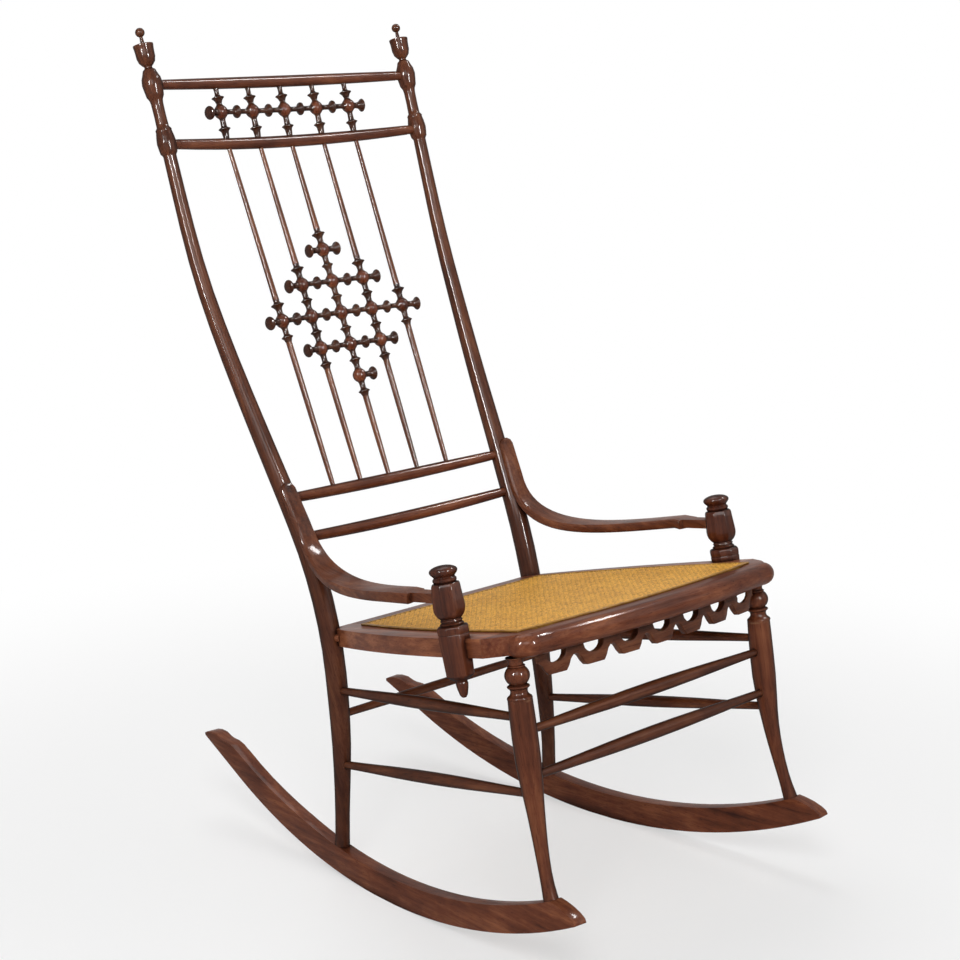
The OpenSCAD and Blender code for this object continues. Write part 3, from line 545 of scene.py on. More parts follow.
def soften(piece, edge, steps, angle):
    """Rounds the edges that are sharper than an angle in degrees."""
    apply_modifier(
        piece, "BEVEL", width=edge, segments=steps, limit_method="ANGLE", angle_limit=math.radians(angle)
    )


def finish_piece(piece, slot, *nodes):
    """The piece stands for these solids and moves with the chair."""
    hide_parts(*nodes)
    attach(piece, BODY)


def merged_copy(node, smooth, edge=0.0, steps=3):
    """A copy of a solid, its triangles merged, its edges softened and its curved faces smooth."""
    solid = SOLIDS[node]
    piece = solid.copy()
    piece.data = solid.data.copy()
    piece.name = piece.data.name = f"{node}_wood"
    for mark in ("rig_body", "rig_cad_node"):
        del piece[mark]
    bpy.context.scene.collection.objects.link(piece)
    piece.parent = None
    piece.matrix_world = Matrix.Identity(4)
    pick(piece)
    if piece.data.has_custom_normals:
        bpy.ops.mesh.customdata_custom_splitnormals_clear()
    edit(piece)
    bpy.ops.mesh.remove_doubles(threshold=0.01 * MM)
    if edge:
        bpy.ops.mesh.dissolve_limited(angle_limit=math.radians(0.6))
    bpy.ops.object.mode_set(mode="OBJECT")
    if edge:
        soften(piece, edge, steps, 32)
    bpy.ops.object.shade_smooth_by_angle(angle=math.radians(smooth))
    return piece


def paint(thing, material):
    """Gives every face of a piece or a solid one material."""
    if not thing.material_slots:
        thing.data.materials.append(material)
    for slot in thing.material_slots:
        slot.material = material


def joined(pieces, name):
    """One object made of all the pieces."""
    if len(pieces) > 1:
        pick(*pieces)
        bpy.ops.object.join()
    piece = pieces[0]
    piece.name = piece.data.name = name
    return piece


class Maker:
    """What the operators share."""

    bl_options = {"REGISTER", "UNDO"}


class CHAIR_OT_rockers(Maker, bpy.types.Operator):
    """Curved rocker boards with softened edges"""

    bl_idname = "chair.rockers"
    bl_label = "Rockers"

    def execute(self, context):
        wood = context.scene.chair_wood
        material = stained_wood(
            "rocker_wood", "y", tone=1.1, red=0.05, streaks=1.1, wear=1.5, shift=0.31, rims=0.2
        )
        for side in LEFT_RIGHT:
            piece = merged_copy(f"rocker_{side}", 30, wood.edge_round)
            paint(piece, material)
            finish_piece(piece, "rocker_wood", f"rocker_{side}")
        return {"FINISHED"}


class CHAIR_OT_back_posts(Maker, bpy.types.Operator):
    """Bent back posts with turned heads, and the small balls on top"""

    bl_idname = "chair.back_posts"
    bl_label = "Back Posts"

    def execute(self, context):
        turn = along("back_post_left", "z")
        post = stained_wood("post_wood", "z", tone=0.98, turn=turn, shift=1.7, foot=0.5)
        ball = stained_wood("finial_wood", "z", tone=0.7, wear=0.6, shift=2.9)
        for side in LEFT_RIGHT:
            piece = merged_copy(f"back_post_{side}", 38)
            paint(piece, post)
            finish_piece(piece, "frame_wood", f"back_post_{side}")
            paint(SOLIDS[f"finial_{side}"], ball)
        return {"FINISHED"}


class CHAIR_OT_back_rails(Maker, bpy.types.Operator):
    """Bowed round rails across the back"""

    bl_idname = "chair.back_rails"
    bl_label = "Back Rails"

    def execute(self, context):
        for at, node in enumerate(CROSS_RAILS):
            material = stained_wood(f"{node}_finish", "x", tone=1.12, red=0.04, shift=4.1 + 0.37 * at)
            piece = merged_copy(node, 38)
            paint(piece, material)
            finish_piece(piece, "frame_wood", node)
        return {"FINISHED"}


def rail_point(rail, x):
    """Point on the centre line of a back rail, in mm, x from the middle of the chair."""
    (end_x, end_y, end_z), bow, drop = BACK_RAILS[rail]
    bend = 1 - (x / end_x) ** 2
    return Vector((x, end_y + bow * bend, end_z - drop * bend))


def at_height(a, b, z):
    """Point of the line from a to b that lies z high."""
    return a + (b - a) * ((a.z - z) / (a.z - b.z))


def short_line(k):
    """Ends of the short spindle k, counted from the middle one to the left, in mm."""
    return rail_point("crest", k * PITCH_TOP), rail_point("gallery", k * PITCH_TOP)


def long_line(k):
    """Ends of the long spindle k."""
    return rail_point("gallery", k * PITCH_TOP), rail_point("lower", k * PITCH_LOW)


def gallery_ball(k):
    a, b = short_line(k)
    return at_height(a, b, (a.z + b.z) / 2 + GALLERY_RISE)


def lattice_ball(k, row):
    """Where spindle k crosses a row of the lattice; a half row lies midway between two."""
    return at_height(*long_line(k), LATTICE_MIDDLE + (MIDDLE_ROW - row) * ROW_STEP)


def reach_of(row):
    """How many spindles the lattice reaches to either side of the middle in a row."""
    return 2 - abs(row - MIDDLE_ROW)


def turned(name, profile, start, end, sides=20, twist=0.0, smooth=42):
    """A piece turned on the line from start to end: heights and radii in mm, spun round it."""
    bpy.ops.mesh.primitive_plane_add(size=MM)
    piece = bpy.context.object
    piece.name = piece.data.name = name
    edit(piece)
    bpy.ops.mesh.merge(type="CENTER")
    bpy.ops.transform.translate(value=(profile[0][1] * MM, 0, profile[0][0] * MM))
    for (h, r), (next_h, next_r) in zip(profile, profile[1:]):
        bpy.ops.mesh.extrude_vertices_move(
            TRANSFORM_OT_translate={"value": ((next_r - r) * MM, 0, (next_h - h) * MM)}
        )
    bpy.ops.mesh.select_all(action="SELECT")
    bpy.ops.mesh.spin(steps=sides, angle=2 * math.pi, center=(0, 0, 0), axis=(0, 0, 1))
    bpy.ops.mesh.select_all(action="SELECT")
    bpy.ops.mesh.remove_doubles(threshold=0.01 * MM)
    bpy.ops.mesh.normals_make_consistent(inside=False)
    bpy.ops.object.mode_set(mode="OBJECT")
    run = (end - start) * MM
    lathe = run.to_track_quat("Z", "Y").to_matrix().to_4x4() @ Matrix.Rotation(twist, 4, "Z")
    piece.matrix_world = Matrix.Translation(start * MM) @ lathe
    pick(piece)
    bpy.ops.object.transform_apply(location=True, rotation=True, scale=True)
    bpy.ops.object.shade_smooth_by_angle(angle=math.radians(smooth))
    return piece


def cut_off(piece, point, way):
    """Saws off what lies beyond a plane and closes the cut; point in mm."""
    edit(piece)
    bpy.ops.mesh.bisect(plane_co=point * MM, plane_no=way, clear_outer=True, use_fill=True)
    bpy.ops.object.mode_set(mode="OBJECT")


def ball_steps(h, neck=3.8):
    """A ball that flares into its necks."""
    half = [(11.6, neck), (9.6, neck + 0.3), *HALF_BALL]
    return [(h - d, r) for d, r in half] + [(h, 9.2)] + [(h + d, r) for d, r in reversed(half)]


def ring_steps(h, rim, above, below):
    """A sharp ring: nearly flat above, drawn out to a cone below."""
    return [
        (h - 4.6, above),
        (h - 2.8, above + 0.6),
        (h - 1.7, above + 2.0),
        (h - 0.9, rim - 0.8),
        (h - 0.3, rim),
        (h + 0.4, rim),
        (h + 1.1, rim - 0.9),
        (h + 2.5, rim - 2.3),
        (h + 4.2, below + 0.9),
        (h + 6.6, below),
    ]


def closed(steps):
    """A profile that starts and ends on the axis."""
    return [(steps[0][0], 0.0), *steps, (steps[-1][0], 0.0)]


class CHAIR_OT_spindles(Maker, bpy.types.Operator):
    """Turned spindles with their balls and sharp rings"""

    bl_idname = "chair.spindles"
    bl_label = "Spindles"

    def execute(self, context):
        tilt = along("long_spindle_3", "z")
        woods = [
            stained_wood(name, "z", tone=tone, red=red, sheen=1.6, wear=0.8, turn=tilt, shift=shift)
            for name, tone, red, shift in (
                ("spindle_shaft_wood", 1.25, 0.0, 5.3),
                ("spindle_ball_wood", 1.0, 0.12, 3.3),
                ("spindle_ring_wood", 0.5, 0.0, 2.4),
            )
        ]
        for k in range(-2, 3):
            self.short_one(k, woods)
            self.long_one(k, woods)
        return {"FINISHED"}

    def stain(self, piece, woods, top, low, turned_part, balls):
        """Shafts pale, balls red, rings and necks dark; heights in mm down from top."""
        for wood in woods:
            piece.data.materials.append(wood)
        down = (low - top).normalized()
        for face in piece.data.polygons:
            h = (face.center / MM - top).dot(down)
            if any(abs(h - ball) < BALL_REACH for ball in balls):
                face.material_index = 1
            elif turned_part[0] < h < turned_part[1]:
                face.material_index = 2

    def short_one(self, k, woods):
        top, low = short_line(k)
        length = (low - top).length
        ball = (gallery_ball(k) - top).length
        peg, thin = PEG_END
        steps = [PEG_END, (6.6, 3.6), (8.4, 3.4), (10.5, 3.1)]
        steps += ring_steps(ball - 18.6, 8.2, 3.1, 4.0)
        steps += ball_steps(ball, 3.6)
        steps += ring_steps(ball + 22.5, 7.9, 3.4, 3.9)[1:-1]
        steps += [(length - 7.8, 3.9), (length - 6.6, 4.2), (length - peg, thin)]
        node = f"gallery_spindle_{k + 3}"
        piece = turned(f"{node}_wood", closed(steps), top, low)
        self.stain(piece, woods, top, low, (0, length), [ball])
        finish_piece(piece, "turned_wood", node)

    def long_one(self, k, woods):
        top, low = long_line(k)
        length = (low - top).length
        rows = [row for row in LATTICE_ROWS if abs(k) <= reach_of(row)]
        balls = [(lattice_ball(k, row) - top).length for row in rows]
        first, *below = ((lattice_ball(k, row + 0.5) - top).length for row in (rows[0] - 1, *rows))
        last = below[-1]
        peg, thin = PEG_END
        steps = [PEG_END, (9.0, 2.9), (first * 0.4, 3.3), (first - 16, 4.0), (first - 7, 4.3)]
        steps += ring_steps(first, 8.8, 3.9, 4.1)
        for ball, ring in zip(balls, below):
            steps += ball_steps(ball)
            steps += ring_steps(ring, 7.7, 3.7, 4.0)
        steps += [(last + 14, 4.0), ((last + length) / 2, 3.8), (length - 16, 3.2), (length - peg, thin)]
        node = f"long_spindle_{k + 3}"
        piece = turned(f"{node}_wood", closed(steps), top, low)
        self.stain(piece, woods, top, low, (first - 6, last + 9), balls)
        finish_piece(piece, "turned_wood", node)


class CHAIR_OT_beads(Maker, bpy.types.Operator):
    """Sharp beads and domed end knobs between the balls"""

    bl_idname = "chair.beads"
    bl_label = "Beads and Knobs"

    def execute(self, context):
        material = stained_wood("bead_wood", "x", tone=0.5, sheen=1.6, wear=0.8, shift=6.1)
        balls = [gallery_ball(k) for k in range(-2, 3)]
        self.row(balls, "gallery_beads", "gallery_knobs", (-1, 1), 21.4, material)
        for row in LATTICE_ROWS:
            reach = reach_of(row)
            balls = [lattice_ball(k, row) for k in range(-reach, reach + 1)]
            knobs, sides = f"lattice_knobs_row_{row}", (-1, 1)
            if row == LATTICE_ROWS[-1]:  # its near knob is lost
                knobs, sides = f"lattice_knob_row_{row}", (1,)
            self.row(balls, f"lattice_beads_row_{row}", knobs, sides, 23.8, material)
        return {"FINISHED"}

    def row(self, balls, bead_node, knob_node, sides, reach, material):
        """Beads between the balls of a row and knobs at its ends, whose rims lie reach mm out."""
        beads = [self.bead(a, b) for a, b in zip(balls, balls[1:])]
        if beads:
            self.done(beads, bead_node, material)
        ends = {-1: balls[0], 1: balls[-1]}
        self.done([self.knob(ends[side], side, reach) for side in sides], knob_node, material)

    def bead(self, start, end):
        """A sharp bead between two balls, alike on both sides of its middle."""
        gap = (end - start).length
        near = [(6.0, 5.0), (7.8, 4.9), (9.0, 4.2), (10.5, 3.7), (13.5, 3.3)]
        half = [(7.0, 3.4), (5.2, 4.2), (3.4, 5.4), (1.6, 7.2), (0.4, 8.6)]
        steps = near + [(gap / 2 - d, r) for d, r in half]
        steps += [(gap - h, r) for h, r in reversed(steps)]
        return turned("bead", closed(steps), start, end, 18)

    def knob(self, ball, side, reach):
        """An end knob, turned a little forward because the row follows the bow of the rails."""
        aim = ball + Vector((side * 50, -0.08 * abs(ball.x), 0))
        steps = [(6.0, 0.0), (6.0, 5.0), (7.8, 4.9), (9.2, 4.2), (11.5, 3.9)]
        dome = [
            (-9.0, 3.9), (-6.0, 4.5), (-3.8, 5.7), (-1.8, 7.4), (-0.6, 8.7), (0.0, 9.0), (0.5, 8.7),
            (1.4, 7.5), (2.3, 5.5), (2.9, 3.0), (3.1, 0.0),
        ]
        return turned("knob", steps + [(reach + h, r) for h, r in dome], ball, aim, 18)

    def done(self, pieces, node, material):
        piece = joined(pieces, f"{node}_wood")
        paint(piece, material)
        finish_piece(piece, "turned_wood", node)


class CHAIR_OT_seat_frame(Maker, bpy.types.Operator):
    """Round nosed front rail and sawn side and rear rails"""

    bl_idname = "chair.seat_frame"
    bl_label = "Seat Frame"

    def execute(self, context):
        wood = context.scene.chair_wood
        turn = (SEAT_TILT, 0, 0)
        side_wood = stained_wood("side_rail_wood", "y", tone=1.5, turn=turn, shift=7.7, rims=0.0)
        cross_wood = stained_wood(
            "front_rail_wood", "x", tone=1.15, red=0.05, turn=turn, shift=8.9, rims=0.3
        )
        for node, material in (
            ("seat_rail_left", side_wood),
            ("seat_rail_right", side_wood),
            ("seat_rail_front", cross_wood),
            ("seat_rail_back", cross_wood),
        ):
            piece = merged_copy(node, 30, wood.edge_round * 0.7)
            paint(piece, material)
            finish_piece(piece, "frame_wood", node)
        return {"FINISHED"}


class CHAIR_OT_apron(Maker, bpy.types.Operator):
    """Pierced and scalloped board under the front rail"""

    bl_idname = "chair.apron"
    bl_label = "Apron"

    def execute(self, context):
        piece = merged_copy("apron", 30, 0.8 * MM, 2)
        paint(piece, stained_wood("apron_wood", "x", tone=0.9, wear=1.2, shift=9.4, rims=0.3))
        finish_piece(piece, "apron_wood", "apron")
        return {"FINISHED"}


class CHAIR_OT_arms(Maker, bpy.types.Operator):
    """Bent flat arm strips"""

    bl_idname = "chair.arms"
    bl_label = "Arms"

    def execute(self, context):
        turn = along("arm_left", "y")
        material = stained_wood("arm_wood", "y", tone=1.1, turn=turn, shift=11.2, rims=0.2)
        for side in LEFT_RIGHT:
            piece = merged_copy(f"arm_{side}", 34, 0.9 * MM)
            paint(piece, material)
            finish_piece(piece, "frame_wood", f"arm_{side}")
        return {"FINISHED"}


class CHAIR_OT_arm_posts(Maker, bpy.types.Operator):
    """Turned arm posts with eight sided bodies"""

    bl_idname = "chair.arm_posts"
    bl_label = "Arm Posts"

    def execute(self, context):
        turn = (ARM_POST_LEAN, 0, 0)
        material = stained_wood(
            "arm_post_wood", "z", tone=0.6, red=0.12, sheen=1.5, turn=turn, shift=12.6
        )
        axis = Vector((0, math.sin(ARM_POST_LEAN), math.cos(ARM_POST_LEAN)))
        x, y, z = ARM_POST_BASE
        for side, sign in zip(LEFT_RIGHT, (1, -1)):
            base = Vector((sign * x, y, z))
            foot = merged_copy(f"arm_post_{side}", 32, 0.5 * MM, 2)
            cut_off(foot, base + axis * ARM_POST_CUT, axis)
            parts = [foot]
            for profile in (ARM_POST_SHOULDER, ARM_POST_BODY):
                part = turned("head", closed(profile), base, base + axis * 100, 8, OCTAGON_TURN, 32)
                soften(part, 0.5 * MM, 2, 30)
                parts.append(part)
            for profile in (ARM_POST_RINGS, ARM_POST_CAP):
                parts.append(turned("head", closed(profile), base, base + axis * 100, 28, 0, 32))
            piece = joined(parts, f"arm_post_{side}_wood")
            bpy.ops.object.shade_smooth_by_angle(angle=math.radians(32))
            paint(piece, material)
            finish_piece(piece, "arm_post_wood", f"arm_post_{side}")
        return {"FINISHED"}


class CHAIR_OT_front_legs(Maker, bpy.types.Operator):
    """Turned and bent front legs"""

    bl_idname = "chair.front_legs"
    bl_label = "Front Legs"

    def execute(self, context):
        turn = along("front_leg_left", "z")
        material = stained_wood("leg_wood", "z", tone=0.9, red=0.05, turn=turn, shift=13.5)
        axis = Vector(LEG_RUN).normalized()
        x, y, z = LEG_TOP
        for side, sign in zip(LEFT_RIGHT, (1, -1)):
            top = Vector((sign * x, y, z))
            leg = merged_copy(f"front_leg_{side}", 38)
            cut_off(leg, top - axis * LEG_CUT, axis)
            head = turned("head", closed(LEG_HEAD), top, top - axis * 100, 32)
            piece = joined([leg, head], f"front_leg_{side}_wood")
            paint(piece, material)
            finish_piece(piece, "frame_wood", f"front_leg_{side}")
        return {"FINISHED"}


class CHAIR_OT_stretchers(Maker, bpy.types.Operator):
    """Turned stretchers between the legs and posts"""

    bl_idname = "chair.stretchers"
    bl_label = "Stretchers"

    def execute(self, context):
        turn = along("side_stretcher_upper_left", "y")
        side_wood = stained_wood("side_stretcher_wood", "y", tone=0.92, turn=turn, shift=14.8)
        cross_wood = stained_wood("cross_stretcher_wood", "x", tone=0.9, shift=15.9)
        for side in LEFT_RIGHT:
            for level in ("upper", "lower"):
                paint(SOLIDS[f"side_stretcher_{level}_{side}"], side_wood)
        for node in ("front_stretcher_upper", "front_stretcher_lower", "back_stretcher"):
            paint(SOLIDS[node], cross_wood)
        return {"FINISHED"}


def cane_finish(name, turn, dull=0.0):
    """Split cane whose fibres run along the strand, darker at joints, with painted shade on the sides of
    the strands and in the creases.
    """
    cane = bpy.context.scene.chair_cane
    finish = Finish(name)
    normal = finish.node("ShaderNodeNewGeometry", out="Normal")
    place = finish.place(turn=(0.0, 0.0, turn))
    fibre = finish.node("ShaderNodeMapping", inputs={"Vector": place, "Scale": (1.0, 0.03, 1.0)})
    strand = finish.noise(fibre, 330.0, 2.0, 0.6)
    fine = finish.noise(fibre, 2600.0, 3.0, 0.6)
    patch = finish.noise(place, 21.0, 3.0, 0.6)
    mask = (strand * 0.55 + fine * 0.25 + patch * 0.45).above(0.42, 0.78)
    colour = finish.blend(tuple(cane.golden), tuple(cane.pale), mask)
    joint = finish.noise(place, 120.0, 2.0, 0.5).above(0.52, 0.64)
    colour = finish.blend(colour, (0.16, 0.075, 0.03), joint * 0.4)
    # painted shade in the creases of the weave, found by ambient occlusion
    shade = (1 - finish.cavity(4 * MM)).above(0.22, 0.70)
    upward = finish.node(
        "ShaderNodeVectorMath", {"operation": "DOT_PRODUCT"}, {0: normal, 1: SEAT_UP}, out="Value"
    )
    # painted shade: the sides of each strand, turned away from the seat's up, are darker
    strand_side_shade = (1 - upward).above(0.10, 0.55)
    colour = finish.blend(colour, tuple(c * 0.22 for c in cane.golden), strand_side_shade * 0.3)
    # paints the dark brown shade of the creases
    colour = finish.blend(colour, (0.060, 0.022, 0.008), shade * 0.85)
    if dull:
        colour = finish.blend(colour, (0.080, 0.030, 0.012), dull)
    return finish.surface(
        {
            "Base Color": colour,
            "Roughness": (0.34 + fine * 0.2 + shade * 0.25).clamped(),
            "Specular IOR Level": 0.04,
            "Coat Weight": (0.08 - shade * 0.08).clamped(),
            "Coat Roughness": 0.25,
            "Normal": finish.bump(fine, 0.3, 0.12 * MM),
        }
    )


def strand(start, end, rise, width, thick, material):
    """A strand from start to end, lifted by the four heights of rise at its ends and thirds."""
    run = end - start
    bpy.ops.mesh.primitive_cylinder_add(
        vertices=4, radius=0.5, depth=run.length, end_fill_type="NOTHING", location=(0, 0, 0)
    )
    piece = bpy.context.object
    edit(piece)
    for at in (-run.length / 6, run.length / 6):
        bpy.ops.mesh.select_all(action="SELECT")
        bpy.ops.mesh.bisect(plane_co=(0, 0, at), plane_no=(0, 0, 1))
    bpy.ops.object.mode_set(mode="OBJECT")
    level = Vector((0, 0, 1))
    across = level.cross(run.normalized())
    for vertex in piece.data.vertices:
        x, y, z = vertex.co
        t = z / run.length + 0.5
        lift = y * thick + rise[round(t * (len(rise) - 1))]
        vertex.co = start + run * t + across * x * width + level * lift
    piece.data.materials.append(material)
    return piece


def seat_edge_planes(inset):
    """Points and outward directions of the planes that bound the seat's opening, drawn in by inset."""
    planes = []
    a, b = SIDE_FRONT, SIDE_BACK
    chord = (b - a).length
    radius = (chord * chord / 4 + SIDE_BULGE * SIDE_BULGE) / (2 * SIDE_BULGE)
    out = Vector((b - a).yx) * Vector((1, -1)) / chord
    centre = (a + b) / 2 + out * (SIDE_BULGE - radius)
    first, last = ((p - centre).angle_signed(Vector((1, 0))) for p in (a, b))
    for i in range(SIDE_FACETS):
        angle = first + (last - first) * (i + 0.5) / SIDE_FACETS
        way = Vector((math.cos(angle), math.sin(angle)))
        for side in (1, -1):
            point = centre + way * (radius - inset)
            planes.append(((side * point.x, point.y, 0), (side * way.x, way.y, 0)))
    front = Vector((0, FRONT_EDGE + FRONT_BOW))
    for i in range(-3, 4):
        angle = math.radians(270) + FRONT_FACET * i
        way = Vector((math.cos(angle), math.sin(angle)))
        point = front + way * (FRONT_BOW - inset)
        planes.append(((point.x, point.y, 0), (way.x, way.y, 0)))
    planes.append(((0, BACK_EDGE - inset, 0), (0, 1, 0)))
    return planes


def opening_outline(inset):
    """Corners of the seat's opening, drawn in by inset: a square cut by each plane in turn."""
    corners = [Vector((x, y)) for x, y in ((1, -1), (1, 1), (-1, 1), (-1, -1))]
    for point, way in seat_edge_planes(inset):
        point, way = Vector(point[:2]), Vector(way[:2])
        kept = []
        for a, b in zip(corners, corners[1:] + corners[:1]):
            da, db = (a - point).dot(way), (b - point).dot(way)
            if da <= 0:
                kept.append(a)
            if da * db < 0:
                kept.append(a + (b - a) * (da / (da - db)))
        corners = kept
    start = max(range(len(corners)), key=lambda i: corners[i].x - 0.5 * corners[i].y)
    return corners[start:] + corners[:start]


def lay_on_seat(piece):
    """Moves a piece from the seat's own frame to its place on the chair."""
    piece.location = SEAT_FRONT + Matrix.Rotation(-SEAT_TILT, 3, "X") @ Vector((0, 0, WEAVE_LIFT))
    piece.rotation_euler = (-SEAT_TILT, 0, 0)
    pick(piece)
    bpy.ops.object.transform_apply(location=True, rotation=True, scale=True)


def woven(cell, name, pitch, sag):
    """Repeats a cell over the seat, cuts it to the opening, lets it sag and lays it on the seat."""
    piece = joined(cell, name)
    half_columns = math.ceil(SIDE_FRONT.x / pitch)
    rows = math.ceil((BACK_EDGE - WEAVE_START) / pitch) + 1
    for axis, count in enumerate((2 * half_columns + 1, rows)):
        offset = [0.0, 0.0, 0.0]
        offset[axis] = pitch
        step = {"use_constant_offset": True, "constant_offset_displace": offset}
        apply_modifier(piece, "ARRAY", count=count, use_relative_offset=False, **step)
    edit(piece)
    bpy.ops.mesh.remove_doubles(threshold=0.05 * MM)
    bpy.ops.transform.translate(value=(-pitch * half_columns, WEAVE_START, 0))
    for point, way in seat_edge_planes(2 * MM):
        bpy.ops.mesh.select_all(action="SELECT")
        bpy.ops.mesh.bisect(plane_co=point, plane_no=way, clear_outer=True, use_fill=True)
    bpy.ops.mesh.select_all(action="SELECT")
    bpy.ops.mesh.dissolve_degenerate(threshold=0.01 * MM)
    bpy.ops.mesh.select_all(action="SELECT")
    bpy.ops.mesh.normals_make_consistent(inside=False)
    bpy.ops.object.mode_set(mode="OBJECT")
    piece.data.validate()
    for vertex in piece.data.vertices:
        x, y = vertex.co.x / SAG_REACH[0], (vertex.co.y - SAG_MIDDLE) / SAG_REACH[1]
        vertex.co.z -= sag * max(0.0, (1 - x * x)) * max(0.0, (1 - y * y))
    lay_on_seat(piece)
    bpy.ops.object.shade_smooth_by_angle(angle=math.radians(50))
    return piece


class CHAIR_OT_cane_seat(Maker, bpy.types.Operator):
    """Six way woven cane over the seat opening"""

    bl_idname = "chair.cane_seat"
    bl_label = "Cane Seat"

    def execute(self, context):
        cane = context.scene.chair_cane
        half, quarter = cane.pitch / 2, cane.pitch / 4
        turns = {"lengthwise": 0, "crosswise": 90, "left_slant": 45, "right_slant": -45}
        lengthwise, crosswise, left_slant, right_slant = (
            cane_finish(f"cane_{name}", math.radians(turn)) for name, turn in turns.items()
        )
        straight = []
        flat = (cane.straight_width, cane.strand_thick)
        for s in (-1, 1):
            swing = (0.0, s * 0.5 * MM, -s * 0.5 * MM, 0.0)
            low, high = (Vector((s * quarter, end, 0)) for end in (-half, half))
            straight.append(strand(low, high, swing, *flat, lengthwise))
            left, right = (Vector((end, s * quarter, 0)) for end in (-half, half))
            straight.append(strand(left, right, tuple(-r for r in swing), *flat, crosswise))
        weave = woven(straight, "cane_straight_strands", cane.pitch, cane.sag)
        finish_piece(weave, "cane", "cane_panel")
        rise = (0.6 * MM, 0.3 * MM, -0.3 * MM, -0.6 * MM)
        fall = tuple(reversed(rise))
        top, bottom = Vector((0, half, 0)), Vector((0, -half, 0))
        right, left = Vector((half, 0, 0)), Vector((-half, 0, 0))
        flat = (cane.slant_width, cane.strand_thick)
        slanting = [
            strand(top, right, rise, *flat, left_slant),
            strand(left, bottom, fall, *flat, left_slant),
            strand(top, left, fall, *flat, right_slant),
            strand(right, bottom, rise, *flat, right_slant),
        ]
        slant = woven(slanting, "cane_slanting_strands", cane.pitch, cane.sag)
        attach(slant, BODY)
        self.binder(cane_finish("binder_cane", 0.0, 0.55))
        return {"FINISHED"}

    def binder(self, material):
        """The reed that is pressed into a groove round the opening and covers the cut ends."""
        rings = [opening_outline(inset * MM) for inset, _ in BINDER_SECTION]
        count = len(rings[0])
        bpy.ops.mesh.primitive_circle_add(vertices=count, radius=0.2, fill_type="NOTHING")
        strip = bpy.context.object
        edit(strip)
        for _ in BINDER_SECTION[1:]:
            bpy.ops.mesh.extrude_edges_move(TRANSFORM_OT_translate={"value": (0, 0, MM)})
        bpy.ops.object.mode_set(mode="OBJECT")
        for vertex in strip.data.vertices:
            ring, at = divmod(vertex.index, count)
            vertex.co = (*rings[ring][at], BINDER_SECTION[ring][1] * MM)
        last = count * (len(rings) - 1)
        for edge in strip.data.edges:
            edge.select = all(v < count for v in edge.vertices) or all(v >= last for v in edge.vertices)
        pick(strip)
        bpy.ops.object.mode_set(mode="EDIT")
        bpy.ops.mesh.select_mode(type="EDGE")
        bpy.ops.mesh.bridge_edge_loops()
        bpy.ops.mesh.select_mode(type="VERT")
        bpy.ops.mesh.select_all(action="SELECT")
        bpy.ops.mesh.normals_make_consistent(inside=False)
        bpy.ops.object.mode_set(mode="OBJECT")
        strip.name = strip.data.name = "cane_binder"
        lay_on_seat(strip)
        bpy.ops.object.shade_smooth_by_angle(angle=math.radians(50))
        strip.data.materials.append(material)
        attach(strip, BODY)


def shown_rays(finish):
    """1 for rays from the camera, a shiny surface or glass, 0 for those that light things."""
    ways = ("Is Camera Ray", "Is Glossy Ray", "Is Transmission Ray")
    camera, glossy, through = (finish.node("ShaderNodeLightPath", out=way) for way in ways)
    return (camera + glossy + through).clamped()


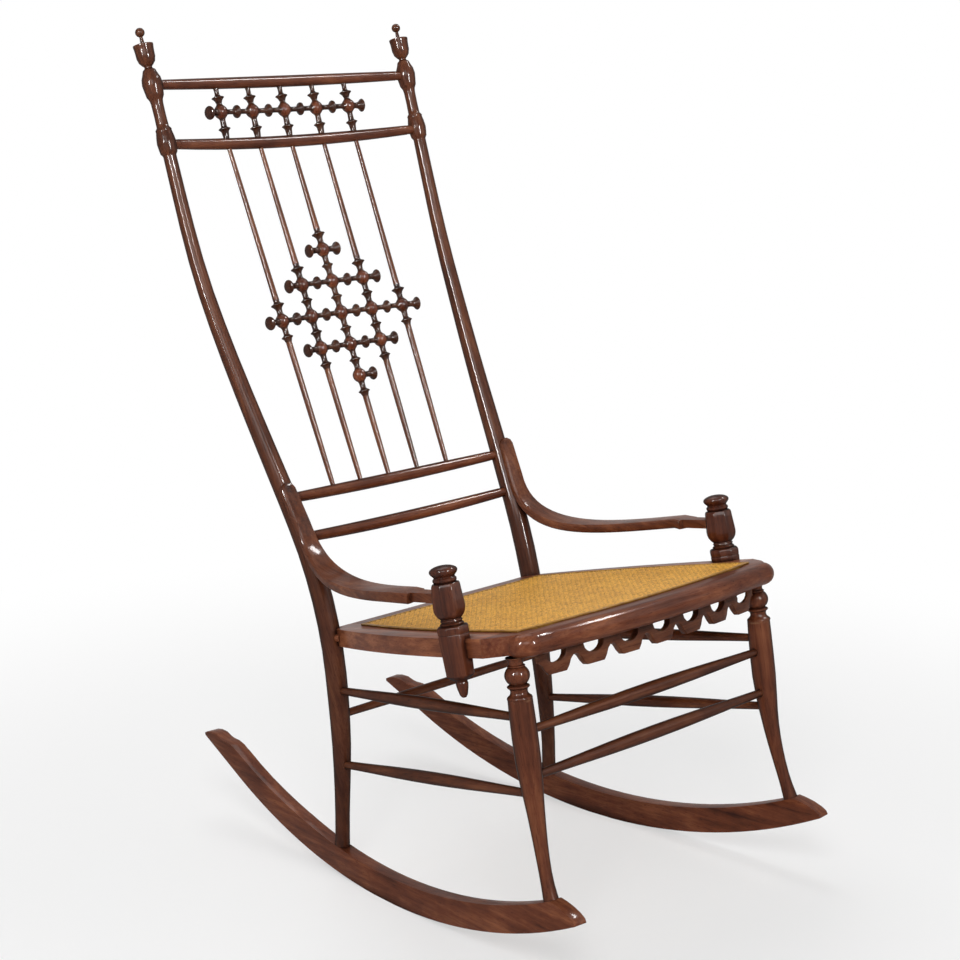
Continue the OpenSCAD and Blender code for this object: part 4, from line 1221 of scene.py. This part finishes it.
class CHAIR_OT_stage(Maker, bpy.types.Operator):
    """Camera, pale floor, surround and soft lamps"""

    bl_idname = "chair.stage"
    bl_label = "Stage"

    def execute(self, context):
        stage = context.scene.chair_stage
        scene = context.scene
        scene.view_settings.view_transform = "Standard"
        bpy.ops.object.camera_add(location=CAMERA_PLACE, rotation=CAMERA_TURN)
        camera = context.object
        camera.name = "camera"
        camera.data.lens = CAMERA_LENS
        camera.data.sensor_width = 36.0
        scene.camera = camera
        for name, power, size, place in (
            ("key_lamp", stage.key, (1.5, 1.5), (-2.2, -1.9, 2.5)),
            ("fill_lamp", stage.fill, (1.6, 1.6), (1.9, -2.2, 1.7)),
            ("top_lamp", stage.top, (1.8, 1.8), (0.5, 1.3, 2.9)),
            ("left_glint", stage.glint, (0.22, 1.0), (-2.8, -0.5, 1.9)),
            ("right_glint", stage.glint, (0.22, 1.0), (-0.4, -2.8, 1.9)),
            ("top_glint", stage.glint * 0.4, (1.0, 0.25), (1.9, -0.5, 3.0)),
        ):
            bpy.ops.object.light_add(type="AREA", location=place)
            lamp = context.object
            lamp.name = name
            lamp.data.shape = "RECTANGLE"
            lamp.data.size, lamp.data.size_y = size
            lamp.data.energy = power
            lamp.rotation_euler = (LAMP_AIM - Vector(place)).to_track_quat("-Z", "Y").to_euler()
            lamp.visible_diffuse = "glint" not in name
        self.lay_floor(stage)
        self.surround(scene, stage)
        return {"FINISHED"}

    def lay_floor(self, stage):
        bpy.ops.mesh.primitive_plane_add(size=30, location=(0, 0, 0))
        floor = bpy.context.object
        floor.name = "floor"
        finish = Finish("floor_paint")
        place = finish.node("ShaderNodeTexCoord", out="Object")
        away = finish.node("ShaderNodeVectorMath", {"operation": "LENGTH"}, {0: place}, out="Value")
        under_chair = 0.55  # share of plain white close to the chair, where its shadow has to show
        speck = finish.noise(place, 40.0, 3.0)
        pale = finish.blend(tuple(stage.floor), tuple(c * 0.985 for c in stage.floor), speck)
        near = finish.node("ShaderNodeBsdfDiffuse", inputs={"Color": pale})
        far = finish.node("ShaderNodeEmission", inputs={"Color": (1.0, 1.0, 1.0)})
        white = shown_rays(finish) * (away.above(0.5, 1.5) * (1 - under_chair) + under_chair)
        shader = finish.node("ShaderNodeMixShader", inputs={0: white, 1: near, 2: far})
        finish.node("ShaderNodeOutputMaterial", inputs={"Surface": shader})
        floor.data.materials.append(finish.material)

    def surround(self, scene, stage):
        scene.world = bpy.data.worlds.new("surround")
        scene.world.use_nodes = True
        finish = Finish("surround", scene.world.node_tree)
        strength = shown_rays(finish) * (1 - stage.surround) + stage.surround
        light = finish.node(
            "ShaderNodeBackground", inputs={"Color": (1.0, 1.0, 1.0), "Strength": strength}
        )
        finish.node("ShaderNodeOutputWorld", inputs={"Surface": light})


OPERATORS = (
    CHAIR_OT_stage,
    CHAIR_OT_rockers,
    CHAIR_OT_back_posts,
    CHAIR_OT_back_rails,
    CHAIR_OT_spindles,
    CHAIR_OT_beads,
    CHAIR_OT_seat_frame,
    CHAIR_OT_apron,
    CHAIR_OT_arms,
    CHAIR_OT_arm_posts,
    CHAIR_OT_front_legs,
    CHAIR_OT_stretchers,
    CHAIR_OT_cane_seat,
)
GROUPS = {"chair_wood": ChairWood, "chair_cane": ChairCane, "chair_stage": ChairStage}


class CHAIR_PT_maker(bpy.types.Panel):
    """Sizes, colours and pieces of the chair"""

    bl_idname = "CHAIR_PT_maker"
    bl_label = "Rocking Chair"
    bl_space_type = "VIEW_3D"
    bl_region_type = "UI"
    bl_category = "Rocking Chair"

    def draw(self, context):
        for name, group in GROUPS.items():
            box = self.layout.box()
            box.label(text=group.__doc__)
            for key in group.__annotations__:
                box.prop(getattr(context.scene, name), key)
        for operator in OPERATORS:
            self.layout.operator(operator.bl_idname)


def register():
    for made in (*GROUPS.values(), *OPERATORS, CHAIR_PT_maker):
        bpy.utils.register_class(made)
    for name, group in GROUPS.items():
        setattr(bpy.types.Scene, name, PointerProperty(type=group))


def unregister():
    for name in GROUPS:
        delattr(bpy.types.Scene, name)
    for made in reversed((*GROUPS.values(), *OPERATORS, CHAIR_PT_maker)):
        bpy.utils.unregister_class(made)


def main():
    register()
    for operator in OPERATORS:
        getattr(bpy.ops.chair, operator.bl_idname.split(".")[1])()


if __name__ == "__main__":
    main()
